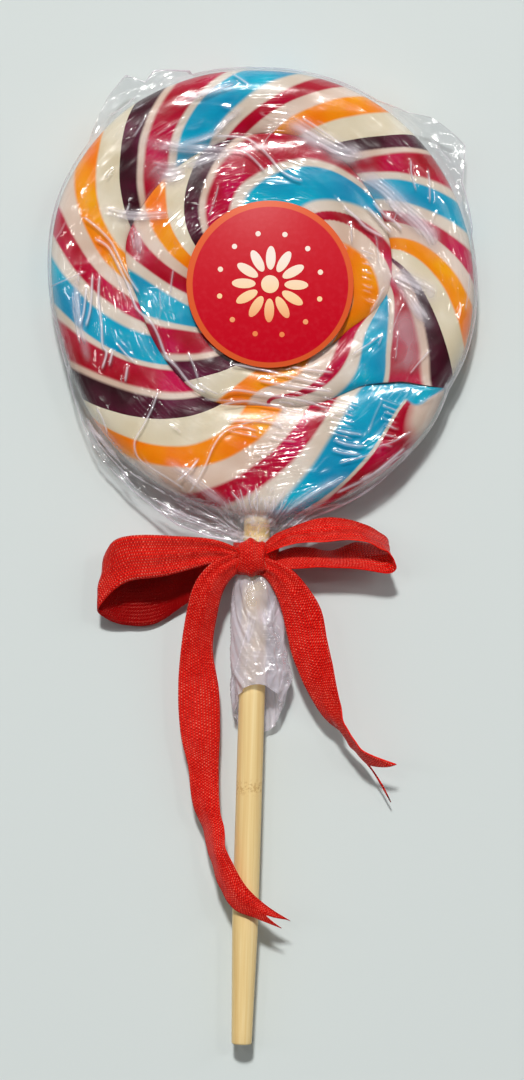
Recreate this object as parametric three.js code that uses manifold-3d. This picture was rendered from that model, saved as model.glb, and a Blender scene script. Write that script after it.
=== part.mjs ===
// Swirl lollipop in a clear film bag, tied at the neck with a ribbon bow.
// It lies on its back: +Z is up off the table, the stick points along -Y, and the origin is
// on the table under the middle of the disc. All lengths are in millimetres.
import * as THREE from "three";
import { mergeVertices } from "three/addons/utils/BufferGeometryUtils.js";
import Module from "manifold-3d";

const wasm = await Module();
wasm.setup();

// ---------------------------------------------------------------- driving dimensions
const GAP = 0.3; // between neighbouring pieces
const FILM_WALL = 0.35; // stands for the much thinner film

const DISC_HALF_X = 50.1; // nominal oval that the rope is coiled into
const DISC_HALF_Y = 53.2;
const DISC_THICKNESS = 14;
const SIDE_ROUND = 9.5; // how far in from the rim the face starts to fall away
const BACK_ROUND = 8;
const ROUND_POWER = 2.3; // 2 is an ellipse, more is squarer
const FACE_GROOVE = 3.4; // depth of the seam between two turns, shown side
const BACK_GROOVE = 2;
const FILM_GROOVE = 1.9; // the tight film dips this far into the seam

const STICK_RADIUS = 3.1;
const STICK_END_RADIUS = 2.35;
const STICK_TOP_Y = -14; // inside the candy
const STICK_TAPER_Y = -150;
const STICK_BOTTOM_Y = -178.5;
const STICK_Z = 6.95;

const NECK_RADIUS = 4.6; // the gathered film under the ribbon
const NECK_FRONT_Y = -59;
const NECK_BACK_Y = -67.2;
const TAIL_END_Y = -104.7;
const MOUTH_SLANT = 9; // the bag's mouth is cut shorter on top
const PLEATS = 7;
const PLEAT_DEPTH = 0.09; // share of the tail's radius

const LABEL_RADIUS = 19.7;
const LABEL_THICKNESS = 0.4;
const LABEL_SIDES = 40;
const LABEL_X = 1.4;
const LABEL_Y = 1.7;

const RIBBON_THICKNESS = 0.7;
const BAND_THICKNESS = 0.8;
const BAND_FRONT_Y = -59.5;
const BAND_BACK_Y = -66.8;
const KNOT_SIZE = [3.9, 4.3, 2.7]; // half sizes of the knot's lump
const KNOT_CENTRE = [-1, -62.9, 12.9];

// ---------------------------------------------------------------- worked out from them
const CANDY_BACK_Z = FILM_WALL + GAP;
const CANDY_FACE_Z = CANDY_BACK_Z + DISC_THICKNESS;
const CANDY_MID_Z = CANDY_BACK_Z + DISC_THICKNESS / 2;
const FILM_FACE_Z = CANDY_FACE_Z + GAP + FILM_WALL;
const LABEL_Z = FILM_FACE_Z + GAP;
const LIP_HALF = GAP + FILM_WALL; // half thickness of the film where front and back meet

const COLOURS = {
  candy: new THREE.Color("#b8002c"),
  film: new THREE.Color("#dfe6e6"),
  label: new THREE.Color("#b9001f"),
  ribbon: new THREE.Color("#cf0f12"),
  stick: new THREE.Color("#e0c48b"),
};

// ---------------------------------------------------------------- outlines
// Angles are in degrees, clockwise from +Y, seen from above.

// The coil: a hand-laid rope, so its seam wanders. [angle, share of the oval's radius].
// The rope's outer end is at ROPE_END, and the seam winds in from there to the middle.
const ROPE_END = 116;
const SEAM_INNER_END = 896;
const SEAM = [
  [116, 0.963], [122, 0.752], [134, 0.615], [156, 0.55], [181, 0.505], [206, 0.545], [230, 0.552],
  [260, 0.584], [292, 0.69], [328, 0.69], [374, 0.71], [404, 0.667], [446, 0.593], [475, 0.425],
  [518, 0.345], [640, 0.3], [758, 0.22], [836, 0.1], [896, 0],
];
// The rim against the oval, once round from the rope's end.
const RIM = [
  [116, 0.963], [128, 0.981], [150, 0.985], [178, 0.969], [196, 0.97], [222, 0.984], [252, 0.975],
  [268, 1.0], [298, 1.054], [318, 1.05], [340, 1.018], [362, 0.991], [392, 0.999], [414, 1.003],
  [444, 0.997], [462, 0.988], [476, 0.963],
];
// Where the bag stands out from the rim: two crumpled corners at the top and a skirt that
// narrows to the neck. [angle, distance from the origin].
const BAG_REACH = [
  [0, 0], [24, 52], [37, 54.9], [42, 57.6], [48, 58.9], [52, 59.4], [59, 54], [71, 51.9], [80, 49],
  [117, 49.4], [125, 50.6], [138, 51.4], [150, 53.2], [166, 54.6], [180, 59.8], [199, 58.8],
  [206, 57.1], [216, 55.8], [226, 54.6], [235, 52.4], [244, 50.7], [254, 48.9], [300, 50],
  [309, 54.8], [320, 59.6], [326, 61.2], [329, 57.4], [332, 59], [340, 55.7], [352, 0], [360, 0],
];

const degrees = (angle) => (angle * Math.PI) / 180;
const mix = (a, b, share) => a + (b - a) * share;

function segmentAt(table, x) {
  const last = table.length - 2;
  const found = table.slice(1).findIndex(([end]) => x < end);
  const index = found < 0 ? last : found;
  const [x0, y0] = table[index];
  const [x1, y1] = table[index + 1];
  return { index, x0, y0, x1, y1, share: THREE.MathUtils.clamp((x - x0) / (x1 - x0), 0, 1) };
}

const straightThrough = (table, x) => {
  const { y0, y1, share } = segmentAt(table, x);
  return mix(y0, y1, share);
};

// A smooth curve through the table's points that never overshoots them.
function smoothThrough(table, x) {
  const { index, x0, y0, x1, y1, share } = segmentAt(table, x);
  const slope = (i) => (table[i + 1][1] - table[i][1]) / (table[i + 1][0] - table[i][0]);
  const here = slope(index);
  const before = index > 0 ? slope(index - 1) : here;
  const after = index < table.length - 2 ? slope(index + 1) : here;
  const tangent = (a, b) => (a * b <= 0 ? 0 : (2 * a * b) / (a + b));
  const width = x1 - x0;
  const t2 = share * share;
  const t3 = t2 * share;
  return (
    y0 * (2 * t3 - 3 * t2 + 1) + width * tangent(before, here) * (t3 - 2 * t2 + share) +
    y1 * (3 * t2 - 2 * t3) + width * tangent(here, after) * (t3 - t2)
  );
}

function ovalRadius(angle) {
  const x = Math.sin(degrees(angle)) / DISC_HALF_X;
  const y = Math.cos(degrees(angle)) / DISC_HALF_Y;
  return 1 / Math.hypot(x, y);
}

const onceRound = (angle, start) => start + ((((angle - start) % 360) + 360) % 360);
const rimShare = (angle) => smoothThrough(RIM, onceRound(angle, ROPE_END));

// grow is how far a surface stands outside the candy's own.
const rimRadius = (angle, grow) => (ovalRadius(angle) + grow) * rimShare(angle);

// The rope's edge at an unwound angle: the rim before its end, the seam after it.
function edgeRadius(angle, grow) {
  const share = angle < ROPE_END ? rimShare(angle) : smoothThrough(SEAM, angle);
  return (ovalRadius(angle) + grow) * share;
}

// ---------------------------------------------------------------- solids
function signedVolume(points, triangles) {
  const corner = new THREE.Vector3();
  return triangles.reduce((sum, [a, b, c]) => {
    corner.crossVectors(points[b], points[c]);
    return sum + points[a].dot(corner) / 6;
  }, 0);
}

// A solid from shared points, turned right side out.
function solidFrom(points, triangles) {
  const flip = signedVolume(points, triangles) < 0;
  const ordered = triangles.flatMap(([a, b, c]) => (flip ? [a, c, b] : [a, b, c]));
  return new wasm.Manifold(
    new wasm.Mesh({
      numProp: 3,
      vertProperties: new Float32Array(points.flatMap((point) => point.toArray())),
      triVerts: new Uint32Array(ordered),
    }),
  );
}

function solidFromGeometry(geometry) {
  const bare = geometry.clone();
  bare.deleteAttribute("normal");
  bare.deleteAttribute("uv");
  const merged = mergeVertices(bare, 1e-4);
  const position = merged.getAttribute("position");
  const points = Array.from({ length: position.count }, (_, i) =>
    new THREE.Vector3().fromBufferAttribute(position, i),
  );
  const index = merged.getIndex().array;
  const triangles = [];
  for (let i = 0; i < index.length; i += 3) {
    const [a, b, c] = [index[i], index[i + 1], index[i + 2]];
    if (a !== b && b !== c && a !== c) {
      triangles.push([a, b, c]);
    }
  }
  return solidFrom(points, triangles);
}

// Rings of equal length joined side by side, with a fan over each end.
function loft(rings) {
  const count = rings[0].length;
  const points = rings.flat();
  const triangles = [];
  for (let ring = 0; ring < rings.length - 1; ring += 1) {
    for (let i = 0; i < count; i += 1) {
      const a = ring * count + i;
      const b = ring * count + ((i + 1) % count);
      triangles.push([a, b, b + count], [a, b + count, a + count]);
    }
  }
  const fan = (ring, turned) => {
    const middle = new THREE.Vector3();
    ring.forEach((point) => middle.addScaledVector(point, 1 / count));
    const centre = points.push(middle) - 1;
    const first = points.indexOf(ring[0]);
    for (let i = 0; i < count; i += 1) {
      const a = first + i;
      const b = first + ((i + 1) % count);
      triangles.push(turned ? [centre, b, a] : [centre, a, b]);
    }
  };
  fan(rings[0], true);
  fan(rings[rings.length - 1], false);
  return solidFrom(points, triangles);
}

function rodAlongY(radius, fromY, toY, z, sides) {
  const geometry = new THREE.CylinderGeometry(radius, radius, Math.abs(toY - fromY), sides);
  geometry.translate(0, (fromY + toY) / 2, z);
  return solidFromGeometry(geometry);
}

// ---------------------------------------------------------------- coil
const BURY_ANGLE = 26; // how soon the next turn hides the rope's outer side

const roundedOff = (share) => (1 - Math.min(1, share) ** ROUND_POWER) ** (1 / ROUND_POWER);

// A point of the coil's face (side 1) or back (side -1). across is 0 on the rope's outer edge
// and 1 on its inner edge.
function coilPoint(angle, across, side, { grow, faceGroove, backGroove }) {
  const radius = mix(edgeRadius(angle - 360, grow), edgeRadius(angle, grow), across);
  const half = DISC_THICKNESS / 2 + grow;
  const round = grow + (side > 0 ? SIDE_ROUND : BACK_ROUND);
  const pastShoulder = Math.max(0, radius - (rimRadius(angle, grow) - round));
  const rimHeight = half * roundedOff(pastShoulder / round);
  const buried = THREE.MathUtils.smoothstep(angle, ROPE_END + 360, ROPE_END + 360 + BURY_ANGLE);
  const seamShare = across > 0.5 ? 1 : buried;
  const groove = side > 0 ? faceGroove : backGroove;
  const ropeHeight = half - groove * seamShare * (1 - roundedOff(Math.abs(2 * across - 1)));
  const x = radius * Math.sin(degrees(angle));
  const y = radius * Math.cos(degrees(angle));
  return new THREE.Vector3(x, y, CANDY_MID_Z + side * Math.min(rimHeight, ropeHeight));
}

// One strip of surface that follows the rope, each turn sharing its edge with the next.
// Every coil has the same rows and splits, so one nests in the other with an even gap.
const COIL_STEP = 7.5; // degrees between two rows
const FACE_SPLITS = 6; // across the rope
const BACK_SPLITS = 4;

function coil(shape) {
  const rowsPerTurn = 360 / COIL_STEP;
  const seamRows = (SEAM_INNER_END - ROPE_END) / COIL_STEP;
  const lastRow = seamRows + rowsPerTurn;
  const points = [];
  const known = new Map();
  const pointAt = (row, column, splits, side) => {
    const edge = column === 0 ? row - rowsPerTurn : row;
    const onEdge = column === 0 || column === splits;
    let key = `${side} row ${row} column ${column}`;
    if (onEdge) {
      key = edge < 0 ? `rim ${edge}` : `${side} seam ${edge}`;
    }
    if (row === 0 || (onEdge && edge === 0)) {
      key = "rope end";
    }
    if (row === lastRow || (onEdge && edge >= seamRows)) {
      key = `${side} middle`;
    }
    if (!known.has(key)) {
      const across = (1 - Math.cos((Math.PI * column) / splits)) / 2;
      const point = coilPoint(ROPE_END + row * COIL_STEP, across, side, shape);
      known.set(key, points.push(point) - 1);
    }
    return known.get(key);
  };
  const triangles = [];
  const add = (...corners) => {
    if (new Set(corners).size === 3) {
      triangles.push(corners);
    }
  };
  for (const [splits, side] of [[FACE_SPLITS, 1], [BACK_SPLITS, -1]]) {
    for (let row = 0; row < lastRow; row += 1) {
      for (let column = 0; column < splits; column += 1) {
        const a = pointAt(row, column, splits, side);
        const b = pointAt(row + 1, column, splits, side);
        const c = pointAt(row + 1, column + 1, splits, side);
        const d = pointAt(row, column + 1, splits, side);
        const [second, fourth] = side > 0 ? [d, b] : [b, d];
        add(a, second, c);
        add(a, c, fourth);
      }
    }
  }
  return solidFrom(points, triangles);
}

const CANDY = { grow: 0, faceGroove: FACE_GROOVE, backGroove: BACK_GROOVE };
const STICK_SIDES = 24;
const HOLE_RADIUS = STICK_RADIUS + GAP;
const stickHole = rodAlongY(HOLE_RADIUS, STICK_TOP_Y + GAP, -DISC_HALF_Y * 1.2, STICK_Z, STICK_SIDES);
const candySolid = coil(CANDY).subtract(stickHole);

// ---------------------------------------------------------------- film bag
// Drawn tight, the film follows the rope's turns, but bridges the bottom of the seam between them.
const tightFilm = (grow) => ({ grow, faceGroove: FILM_GROOVE, backGroove: 0 });

// Where front and back of the bag meet, they are one flat lip that stands out from the rim.
const LIP_COLUMNS = 72;

function lipPlate(inset) {
  const reach = (angle) => {
    const tight = rimRadius(angle, LIP_HALF) + LIP_HALF;
    return Math.max(tight, straightThrough(BAG_REACH, angle)) - inset;
  };
  const ring = (share, z) =>
    Array.from({ length: LIP_COLUMNS }, (_, i) => {
      const angle = (360 * i) / LIP_COLUMNS;
      const radius = share * reach(angle);
      return new THREE.Vector3(radius * Math.sin(degrees(angle)), radius * Math.cos(degrees(angle)), z);
    });
  const half = LIP_HALF - inset;
  const [top, bottom] = [CANDY_MID_Z + half, CANDY_MID_Z - half];
  return loft([ring(0.5, top), ring(1, top), ring(1, bottom), ring(0.5, bottom)]);
}

// The bag below the disc, gathered at the neck and loose again after it.
// [y, middle x, half width, half height, pleat share, mouth slant share]
const GATHER = [
  [-43, 0, 15, 6.2, 0, 0],
  [-50, 0, 11, 6, 0, 0],
  [-55, 0, 7, 5.4, 0.5, 0],
  [NECK_FRONT_Y, 0, NECK_RADIUS, NECK_RADIUS, 0, 0],
  [NECK_BACK_Y, 0, NECK_RADIUS, NECK_RADIUS, 0, 0],
  [-70, 0.3, 5.4, 4.8, 1, 0],
  [-78, 0.8, 6.1, 4.9, 1, 0.1],
  [-87, 1.4, 6.7, 5.1, 1, 0.4],
  [-96, 1.9, 7.3, 5.2, 1, 0.7],
  [TAIL_END_Y, 2.3, 7, 5, 1, 1],
];
const TUBE_SIDES = 24;

function gatherRing([y, middleX, halfWidth, halfHeight, pleat, slant], grow) {
  return Array.from({ length: TUBE_SIDES }, (_, i) => {
    const angle = (2 * Math.PI * i) / TUBE_SIDES;
    const wave = 1 + PLEAT_DEPTH * pleat * Math.cos(PLEATS * angle);
    const x = middleX + (halfWidth * wave + grow) * Math.cos(angle);
    const z = STICK_Z + (halfHeight * wave + grow) * Math.sin(angle);
    return new THREE.Vector3(x, y + MOUTH_SLANT * slant * (1 + Math.sin(angle)) * 0.5, z);
  });
}

function gather(grow, runOn) {
  const rings = GATHER.map((row) => gatherRing(row, grow));
  if (runOn > 0) {
    const [y, ...rest] = GATHER[GATHER.length - 1];
    rings.push(gatherRing([y - runOn, ...rest], grow));
  }
  return loft(rings);
}

const CUT_PAST = 5; // the hollow runs this far out of the mouth
const filmOutside = coil(tightFilm(GAP + FILM_WALL)).add(lipPlate(0)).add(gather(0, 0));
const filmInside = coil(tightFilm(GAP)).add(lipPlate(FILM_WALL)).add(gather(-FILM_WALL, CUT_PAST));
const neckBore = rodAlongY(HOLE_RADIUS, -DISC_HALF_Y, TAIL_END_Y - CUT_PAST, STICK_Z, STICK_SIDES);
const filmSolid = filmOutside.subtract(filmInside).subtract(neckBore);

// ---------------------------------------------------------------- ribbon bow
// Each band is a strip between two edges that run from the knot outwards.
const BOW_LEFT = {
  far: [
    [-3.2, -61.2, 13], [-12.3, -59.3, 13.2], [-25.3, -59.1, 13], [-33.1, -61.1, 11.5],
    [-36.3, -65.2, 9], [-35.7, -68.5, 6], [-30.9, -70.8, 3.5], [-21.5, -69.5, 2.6],
    [-12.1, -66.2, 3.6], [-3.6, -63.5, 5.5],
  ],
  near: [
    [-3.1, -64, 13.4], [-12, -67.8, 14.2], [-22.6, -70.8, 14], [-31.5, -74.1, 12],
    [-36, -76.6, 8.5], [-36.9, -78.3, 5], [-33.3, -79.9, 2], [-25.4, -79.9, 1.2],
    [-15.9, -74.1, 2.6], [-3.5, -65.9, 5.5],
  ],
};
const BOW_RIGHT = {
  far: [
    [1.3, -60.3, 12.4], [5.5, -56.4, 10], [11.4, -54.3, 7.5], [19.6, -52.8, 6], [25.3, -53.2, 5.5],
    [29.7, -56.6, 5.2], [32.7, -61.5, 5], [32.1, -65.1, 5], [28.1, -66.4, 5], [21.9, -64.9, 5.5],
    [15.2, -64.4, 6], [8.1, -64.6, 6.3], [1.9, -64.8, 6.5],
  ],
  near: [
    [1.4, -62.2, 13.5], [7.5, -60.1, 13.8], [13.4, -58.5, 14], [20.5, -57.6, 14],
    [26, -58.2, 13.8], [29.6, -59.7, 13.2], [31.3, -61.6, 12.6], [30.9, -63, 12],
    [26.8, -62.8, 11.5], [20.8, -61.4, 11], [14.1, -60.1, 10.5], [8, -60.6, 10],
    [1.9, -62.4, 10],
  ],
};
const TAIL_LEFT = {
  far: [
    [-4.4, -61.4, 13.5], [-10.4, -64.5, 13.6], [-14.1, -69.1, 12.8], [-15.8, -74.8, 11.5],
    [-17.2, -85.8, 9.5], [-17.5, -96, 8.3], [-16.6, -105.5, 7.6], [-14.7, -112.8, 7.2],
    [-13.4, -120.9, 6.8], [-11.2, -127.5, 6.8], [-9.1, -134, 8], [-6.5, -141.1, 10.2],
    [-2.8, -146.2, 11.4], [2.5, -148.1, 12], [8.6, -150.3, 12],
  ],
  near: [
    [-2.3, -64.9, 13.5], [-5.6, -67.9, 13.2], [-7.6, -71.3, 12.4], [-8.7, -76.1, 11.2],
    [-9.6, -85.1, 9.2], [-7.9, -94.6, 8.2], [-7.4, -104.1, 7.6], [-7.6, -112.6, 7.8],
    [-7.6, -120.7, 9.2], [-7.2, -126.9, 11.4], [-6.1, -132.1, 13], [-3.5, -136.7, 13.4],
    [0.2, -141.5, 13.2], [4.3, -145, 12.8], [10.6, -148.8, 12.4],
  ],
  notch: [4.4, -147.4, 12.2],
};
const TAIL_RIGHT = {
  far: [
    [0.1, -66.3, 13], [3.1, -68.6, 12.6], [5.9, -73.7, 12.4], [7.6, -79.8, 12.2], [9.3, -86, 11.8],
    [12.1, -92.5, 10.6], [15.9, -99.2, 9], [20.2, -104.2, 7.2], [23.6, -107.9, 5.8],
    [26.6, -111.1, 5.1], [33.5, -120.7, 4.8],
  ],
  near: [
    [1.4, -62.4, 13.6], [7.6, -64.9, 13.4], [12, -69, 13], [15.7, -74.6, 12.6],
    [17.4, -81.7, 12.3], [18.9, -87.8, 12], [20.4, -94.9, 11.9], [21.7, -100.1, 12],
    [23.5, -104.6, 12.4], [26.5, -107.8, 12.4], [34.7, -110.8, 11.2],
  ],
  notch: [27.6, -112.5, 8.2],
};
const STEPS_PER_POINT = 2.3;

function smoothEdge(edge, steps) {
  const curve = new THREE.CatmullRomCurve3(edge.map((point) => new THREE.Vector3(...point)));
  return Array.from({ length: steps + 1 }, (_, i) => curve.getPoint(i / steps));
}

// The strip's section has a point on each edge and one in the middle, on both faces.
function ribbonStrip({ far, near, notch }) {
  const steps = Math.round(far.length * STEPS_PER_POINT);
  const farEdge = smoothEdge(far, steps);
  const nearEdge = smoothEdge(near, steps);
  const middles = farEdge.map((point, i) => point.clone().lerp(nearEdge[i], 0.5));
  if (notch) {
    middles[steps] = new THREE.Vector3(...notch);
  }
  const points = [];
  for (let i = 0; i <= steps; i += 1) {
    const along = new THREE.Vector3().subVectors(middles[Math.min(i + 1, steps)], middles[Math.max(i - 1, 0)]);
    const across = new THREE.Vector3().subVectors(nearEdge[i], farEdge[i]);
    const lift = along.cross(across).setLength(RIBBON_THICKNESS / 2);
    const section = [farEdge[i], middles[i], nearEdge[i]];
    points.push(...section.map((point) => point.clone().add(lift)));
    points.push(...section.reverse().map((point) => point.clone().sub(lift)));
  }
  const sides = 6;
  const triangles = [];
  for (let i = 0; i < steps; i += 1) {
    for (let side = 0; side < sides; side += 1) {
      const a = i * sides + side;
      const b = i * sides + ((side + 1) % sides);
      triangles.push([a, b, b + sides], [a, b + sides, a + sides]);
    }
  }
  const end = (first, turned) => {
    for (const [a, b, c] of [[0, 1, 4], [0, 4, 5], [1, 2, 3], [1, 3, 4]]) {
      triangles.push(turned ? [first + a, first + c, first + b] : [first + a, first + b, first + c]);
    }
  };
  end(0, true);
  end(steps * sides, false);
  return solidFrom(points, triangles);
}

function knotLump() {
  const geometry = new THREE.SphereGeometry(1, 16, 10);
  geometry.scale(...KNOT_SIZE);
  geometry.translate(...KNOT_CENTRE);
  return solidFromGeometry(geometry);
}

function ribbonBow() {
  const innerRadius = NECK_RADIUS + GAP;
  const band = rodAlongY(innerRadius + BAND_THICKNESS, BAND_FRONT_Y, BAND_BACK_Y, STICK_Z, TUBE_SIDES);
  const strips = [BOW_LEFT, BOW_RIGHT, TAIL_LEFT, TAIL_RIGHT].map(ribbonStrip);
  const whole = [knotLump(), ...strips].reduce((sum, piece) => sum.add(piece), band);
  const keepOut = [lipPlate(-GAP), gather(GAP, 0)];
  const trimmed = keepOut.reduce((sum, piece) => sum.subtract(piece), whole);
  return trimmed.decompose().reduce((big, piece) => (piece.volume() > big.volume() ? piece : big));
}

// ---------------------------------------------------------------- stick and label
function stickGeometry() {
  const profile = [
    [0, STICK_TOP_Y], [STICK_RADIUS, STICK_TOP_Y], [STICK_RADIUS, STICK_TAPER_Y],
    [STICK_END_RADIUS, STICK_BOTTOM_Y], [0, STICK_BOTTOM_Y],
  ];
  const geometry = new THREE.LatheGeometry(profile.map(([r, y]) => new THREE.Vector2(r, y)), STICK_SIDES);
  geometry.translate(0, 0, STICK_Z);
  return geometry;
}

function labelGeometry() {
  const geometry = new THREE.CylinderGeometry(LABEL_RADIUS, LABEL_RADIUS, LABEL_THICKNESS, LABEL_SIDES);
  geometry.rotateX(Math.PI / 2);
  geometry.translate(LABEL_X, LABEL_Y, LABEL_Z + LABEL_THICKNESS / 2);
  return geometry;
}

// ---------------------------------------------------------------- scene graph
function meshOf(name, solid, colour, roughness) {
  const { vertProperties, triVerts } = solid.getMesh();
  const geometry = new THREE.BufferGeometry();
  geometry.setAttribute("position", new THREE.BufferAttribute(vertProperties, 3));
  geometry.setIndex(new THREE.BufferAttribute(triVerts, 1));
  geometry.computeVertexNormals();
  const material = new THREE.MeshStandardMaterial({ color: colour, roughness, metalness: 0 });
  const mesh = new THREE.Mesh(geometry, material);
  mesh.name = name;
  return mesh;
}

const lollipop = new THREE.Group();
lollipop.add(meshOf("candy", candySolid, COLOURS.candy, 0.25));
lollipop.add(meshOf("film", filmSolid, COLOURS.film, 0.1));
lollipop.add(meshOf("label", solidFromGeometry(labelGeometry()), COLOURS.label, 0.5));
lollipop.add(meshOf("ribbon", ribbonBow(), COLOURS.ribbon, 0.55));
lollipop.add(meshOf("stick", solidFromGeometry(stickGeometry()), COLOURS.stick, 0.6));

export default lollipop;
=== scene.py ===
# %% [markdown]
# # A swirl lollipop in a clear bag
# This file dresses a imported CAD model: a coiled candy disc on a bamboo stick, in a clear film bag
# that a red ribbon ties shut. The CAD model gives every piece its place and size. Here each piece
# gets its fine shape and its finish. Lengths are written in millimetres and turned into metres
# where a mesh is made, because that is how a sweet maker would measure them.

# %% Load the CAD model
import math
from functools import partial

import bpy
import numpy as np
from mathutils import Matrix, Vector


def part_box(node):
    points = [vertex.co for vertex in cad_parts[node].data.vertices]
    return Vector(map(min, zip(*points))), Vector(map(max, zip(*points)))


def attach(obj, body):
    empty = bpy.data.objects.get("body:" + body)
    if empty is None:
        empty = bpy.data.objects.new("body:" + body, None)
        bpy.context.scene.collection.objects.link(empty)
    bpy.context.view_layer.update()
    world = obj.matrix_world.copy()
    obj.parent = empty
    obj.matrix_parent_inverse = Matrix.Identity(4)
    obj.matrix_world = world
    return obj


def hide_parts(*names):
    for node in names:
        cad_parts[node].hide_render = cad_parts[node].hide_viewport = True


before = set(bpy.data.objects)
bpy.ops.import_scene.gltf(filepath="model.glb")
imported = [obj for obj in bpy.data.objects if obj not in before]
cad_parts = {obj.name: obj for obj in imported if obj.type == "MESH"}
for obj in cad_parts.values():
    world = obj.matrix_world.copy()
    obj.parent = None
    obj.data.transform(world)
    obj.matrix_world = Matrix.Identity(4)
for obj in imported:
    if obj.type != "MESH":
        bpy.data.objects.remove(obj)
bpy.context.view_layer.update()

MM = 0.001

# %% [markdown]
# ## Camera, table and light
# The lollipop lies on a pale table and the camera looks straight down on it, turned a little, so
# that the stick doesn't run quite upright in the picture. A long lens from a metre away keeps the
# thick disc and the thin stick at one scale. Clear film shows only by what it mirrors, so the light
# matters more than for any other finish: a soft box behind the disc gives the white glints and
# the shadow, two narrow ones at the sides draw the upright creases, and a pale sky fills in.

# %% Camera
CAMERA_DISTANCE = 1.0
TABLE_IN_PICTURE = 0.2565  # metres of table along the picture's long side
CAMERA_TURN = math.radians(1.7)
AIM = Vector((1.3, -58.6, 7.6)) * MM

bpy.ops.object.camera_add(location=AIM + Vector((0, 0, CAMERA_DISTANCE)), rotation=(0, 0, CAMERA_TURN))
camera = bpy.context.object
camera.data.lens = camera.data.sensor_width * CAMERA_DISTANCE / TABLE_IN_PICTURE
bpy.context.scene.camera = camera
bpy.context.scene.view_settings.view_transform = "Standard"
print("lens:", round(camera.data.lens), "mm")


# %% Colours and material nodes
def linear(hex_colour):
    """An sRGB colour such as "#c8102e" as linear red, green, blue and alpha."""
    channels = [int(hex_colour[place:place + 2], 16) / 255 for place in (1, 3, 5)]
    return [c / 12.92 if c <= 0.04045 else ((c + 0.055) / 1.055) ** 2.4 for c in channels] + [1.0]


def add_node(material, kind, *inputs, stops=None, **settings):
    """A shader node with its settings. Its inputs come in their order, or as one dict by name or by
    number. Each is a number, a colour, an output, or a whole node that gives its first output in
    use. A MapRange takes its value, then the range it reads and, where that isn't 0 to 1, the range
    it gives. A Mix blends its inputs 6 and 7. A ramp's stops are positions with colours."""
    node = material.node_tree.nodes.new("ShaderNode" + kind)
    for name, value in settings.items():
        setattr(node, name, value)
    inputs = inputs[0] if inputs and isinstance(inputs[0], dict) else dict(enumerate(inputs))
    for name, value in inputs.items():
        if isinstance(value, bpy.types.Node):
            value = next(output for output in value.outputs if output.enabled)
        if isinstance(value, bpy.types.NodeSocket):
            material.node_tree.links.new(value, node.inputs[name])
        else:
            node.inputs[name].default_value = linear(value) if isinstance(value, str) else value
    if stops:
        ramp = node.color_ramp.elements
        while len(ramp) < len(stops):
            ramp.new(1.0)
        for element, (position, colour) in zip(ramp, stops):
            element.position = position
            element.color = linear(colour)
    return node


def start_material(name, owners=bpy.data.materials):
    """An empty material or world, and the function that adds nodes to it."""
    material = owners.new(name)
    material.use_nodes = True
    material.node_tree.nodes.clear()
    return material, partial(add_node, material)


def paint(pieces, material, surface):
    """Ends a material in its surface shader, and gives it to pieces in place of any other."""
    add_node(material, "OutputMaterial", {"Surface": surface})
    for piece in pieces:
        piece.data.materials.clear()
        piece.data.materials.append(material)


# %% Table and light
bpy.ops.mesh.primitive_plane_add(size=8)
table = bpy.context.object
table.name = "table"

painted_board, add = start_material("painted board, matt")
board = add("BsdfPrincipled", {"Base Color": "#cfd8d9", "Roughness": 0.7, "Specular IOR Level": 0.25})
paint([table], painted_board, board)

sky, add = start_material("pale room", bpy.data.worlds)
looked_at = add("TexCoord")
upwards = add("SeparateXYZ", looked_at.outputs["Generated"])
room = add("ValToRGB", upwards.outputs["Z"], stops=[
    (0.0, "#f4f3f0"), (0.6, "#a2a3a2"), (0.85, "#55585a"), (1.0, "#1c1d1f"),
])
glow = add("Background", {"Color": room, "Strength": 0.34})
add("OutputWorld", {"Surface": glow})
bpy.context.scene.world = sky

SOFT_BOXES = {
    # name: (direction from the aim, distance m, width m, height m, power W)
    "key box": ((-0.08, 0.58, 1.0), 6.0, 0.48, 0.48, 285.0),
    "wide box": ((-0.1, 0.7, 1.1), 3.0, 0.8, 0.6, 8.0),
    "left strip": ((-1.0, 0.1, 1.2), 1.3, 0.05, 0.9, 1.2),
    "right strip": ((1.0, 0.5, 1.2), 1.3, 0.05, 0.9, 1.4),
    "left lamp": ((-0.38, 0.28, 1.0), 2.5, 0.12, 0.12, 2.6),
    "right lamp": ((0.48, 0.36, 1.0), 2.5, 0.12, 0.12, 2.6),
}
for name, (direction, distance, width, height, power) in SOFT_BOXES.items():
    towards = Vector(direction).normalized()
    bpy.ops.object.light_add(type="AREA", location=AIM + towards * distance)
    box = bpy.context.object
    box.name = name
    box.rotation_euler = towards.to_track_quat("Z", "Y").to_euler()
    box.data.shape = "RECTANGLE"
    box.data.size = width
    box.data.size_y = height
    box.data.energy = power
    box.data.color = (1.0, 0.975, 0.94)
print("soft boxes:", ", ".join(SOFT_BOXES))

# %% [markdown]
# ## The coiled candy
# A warm rope of striped sugar is pulled, twisted and laid round in a coil on a slab, where it sags
# and flattens. So the disc is one strip of surface that winds inwards: each turn's inner side is
# the next turn's outer side, and the seam between them is a groove. Nearly the same outline tables
# as in the CAD source give the coil here, with many more rows. No operator winds a rope, so a grid
# primitive is laid along it by a function, and the seam is closed by merging doubles.

# %% Smooth tables
def cubic(t, width, start, end, leaving, arriving):
    """A cubic over t = 0 to 1, from its value and slope at the start to those at the end."""
    return (
        start * (2 * t**3 - 3 * t**2 + 1) + end * (3 * t**2 - 2 * t**3)
        + width * (leaving * (t**3 - 2 * t**2 + t) + arriving * (t**3 - t**2))
    )


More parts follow.
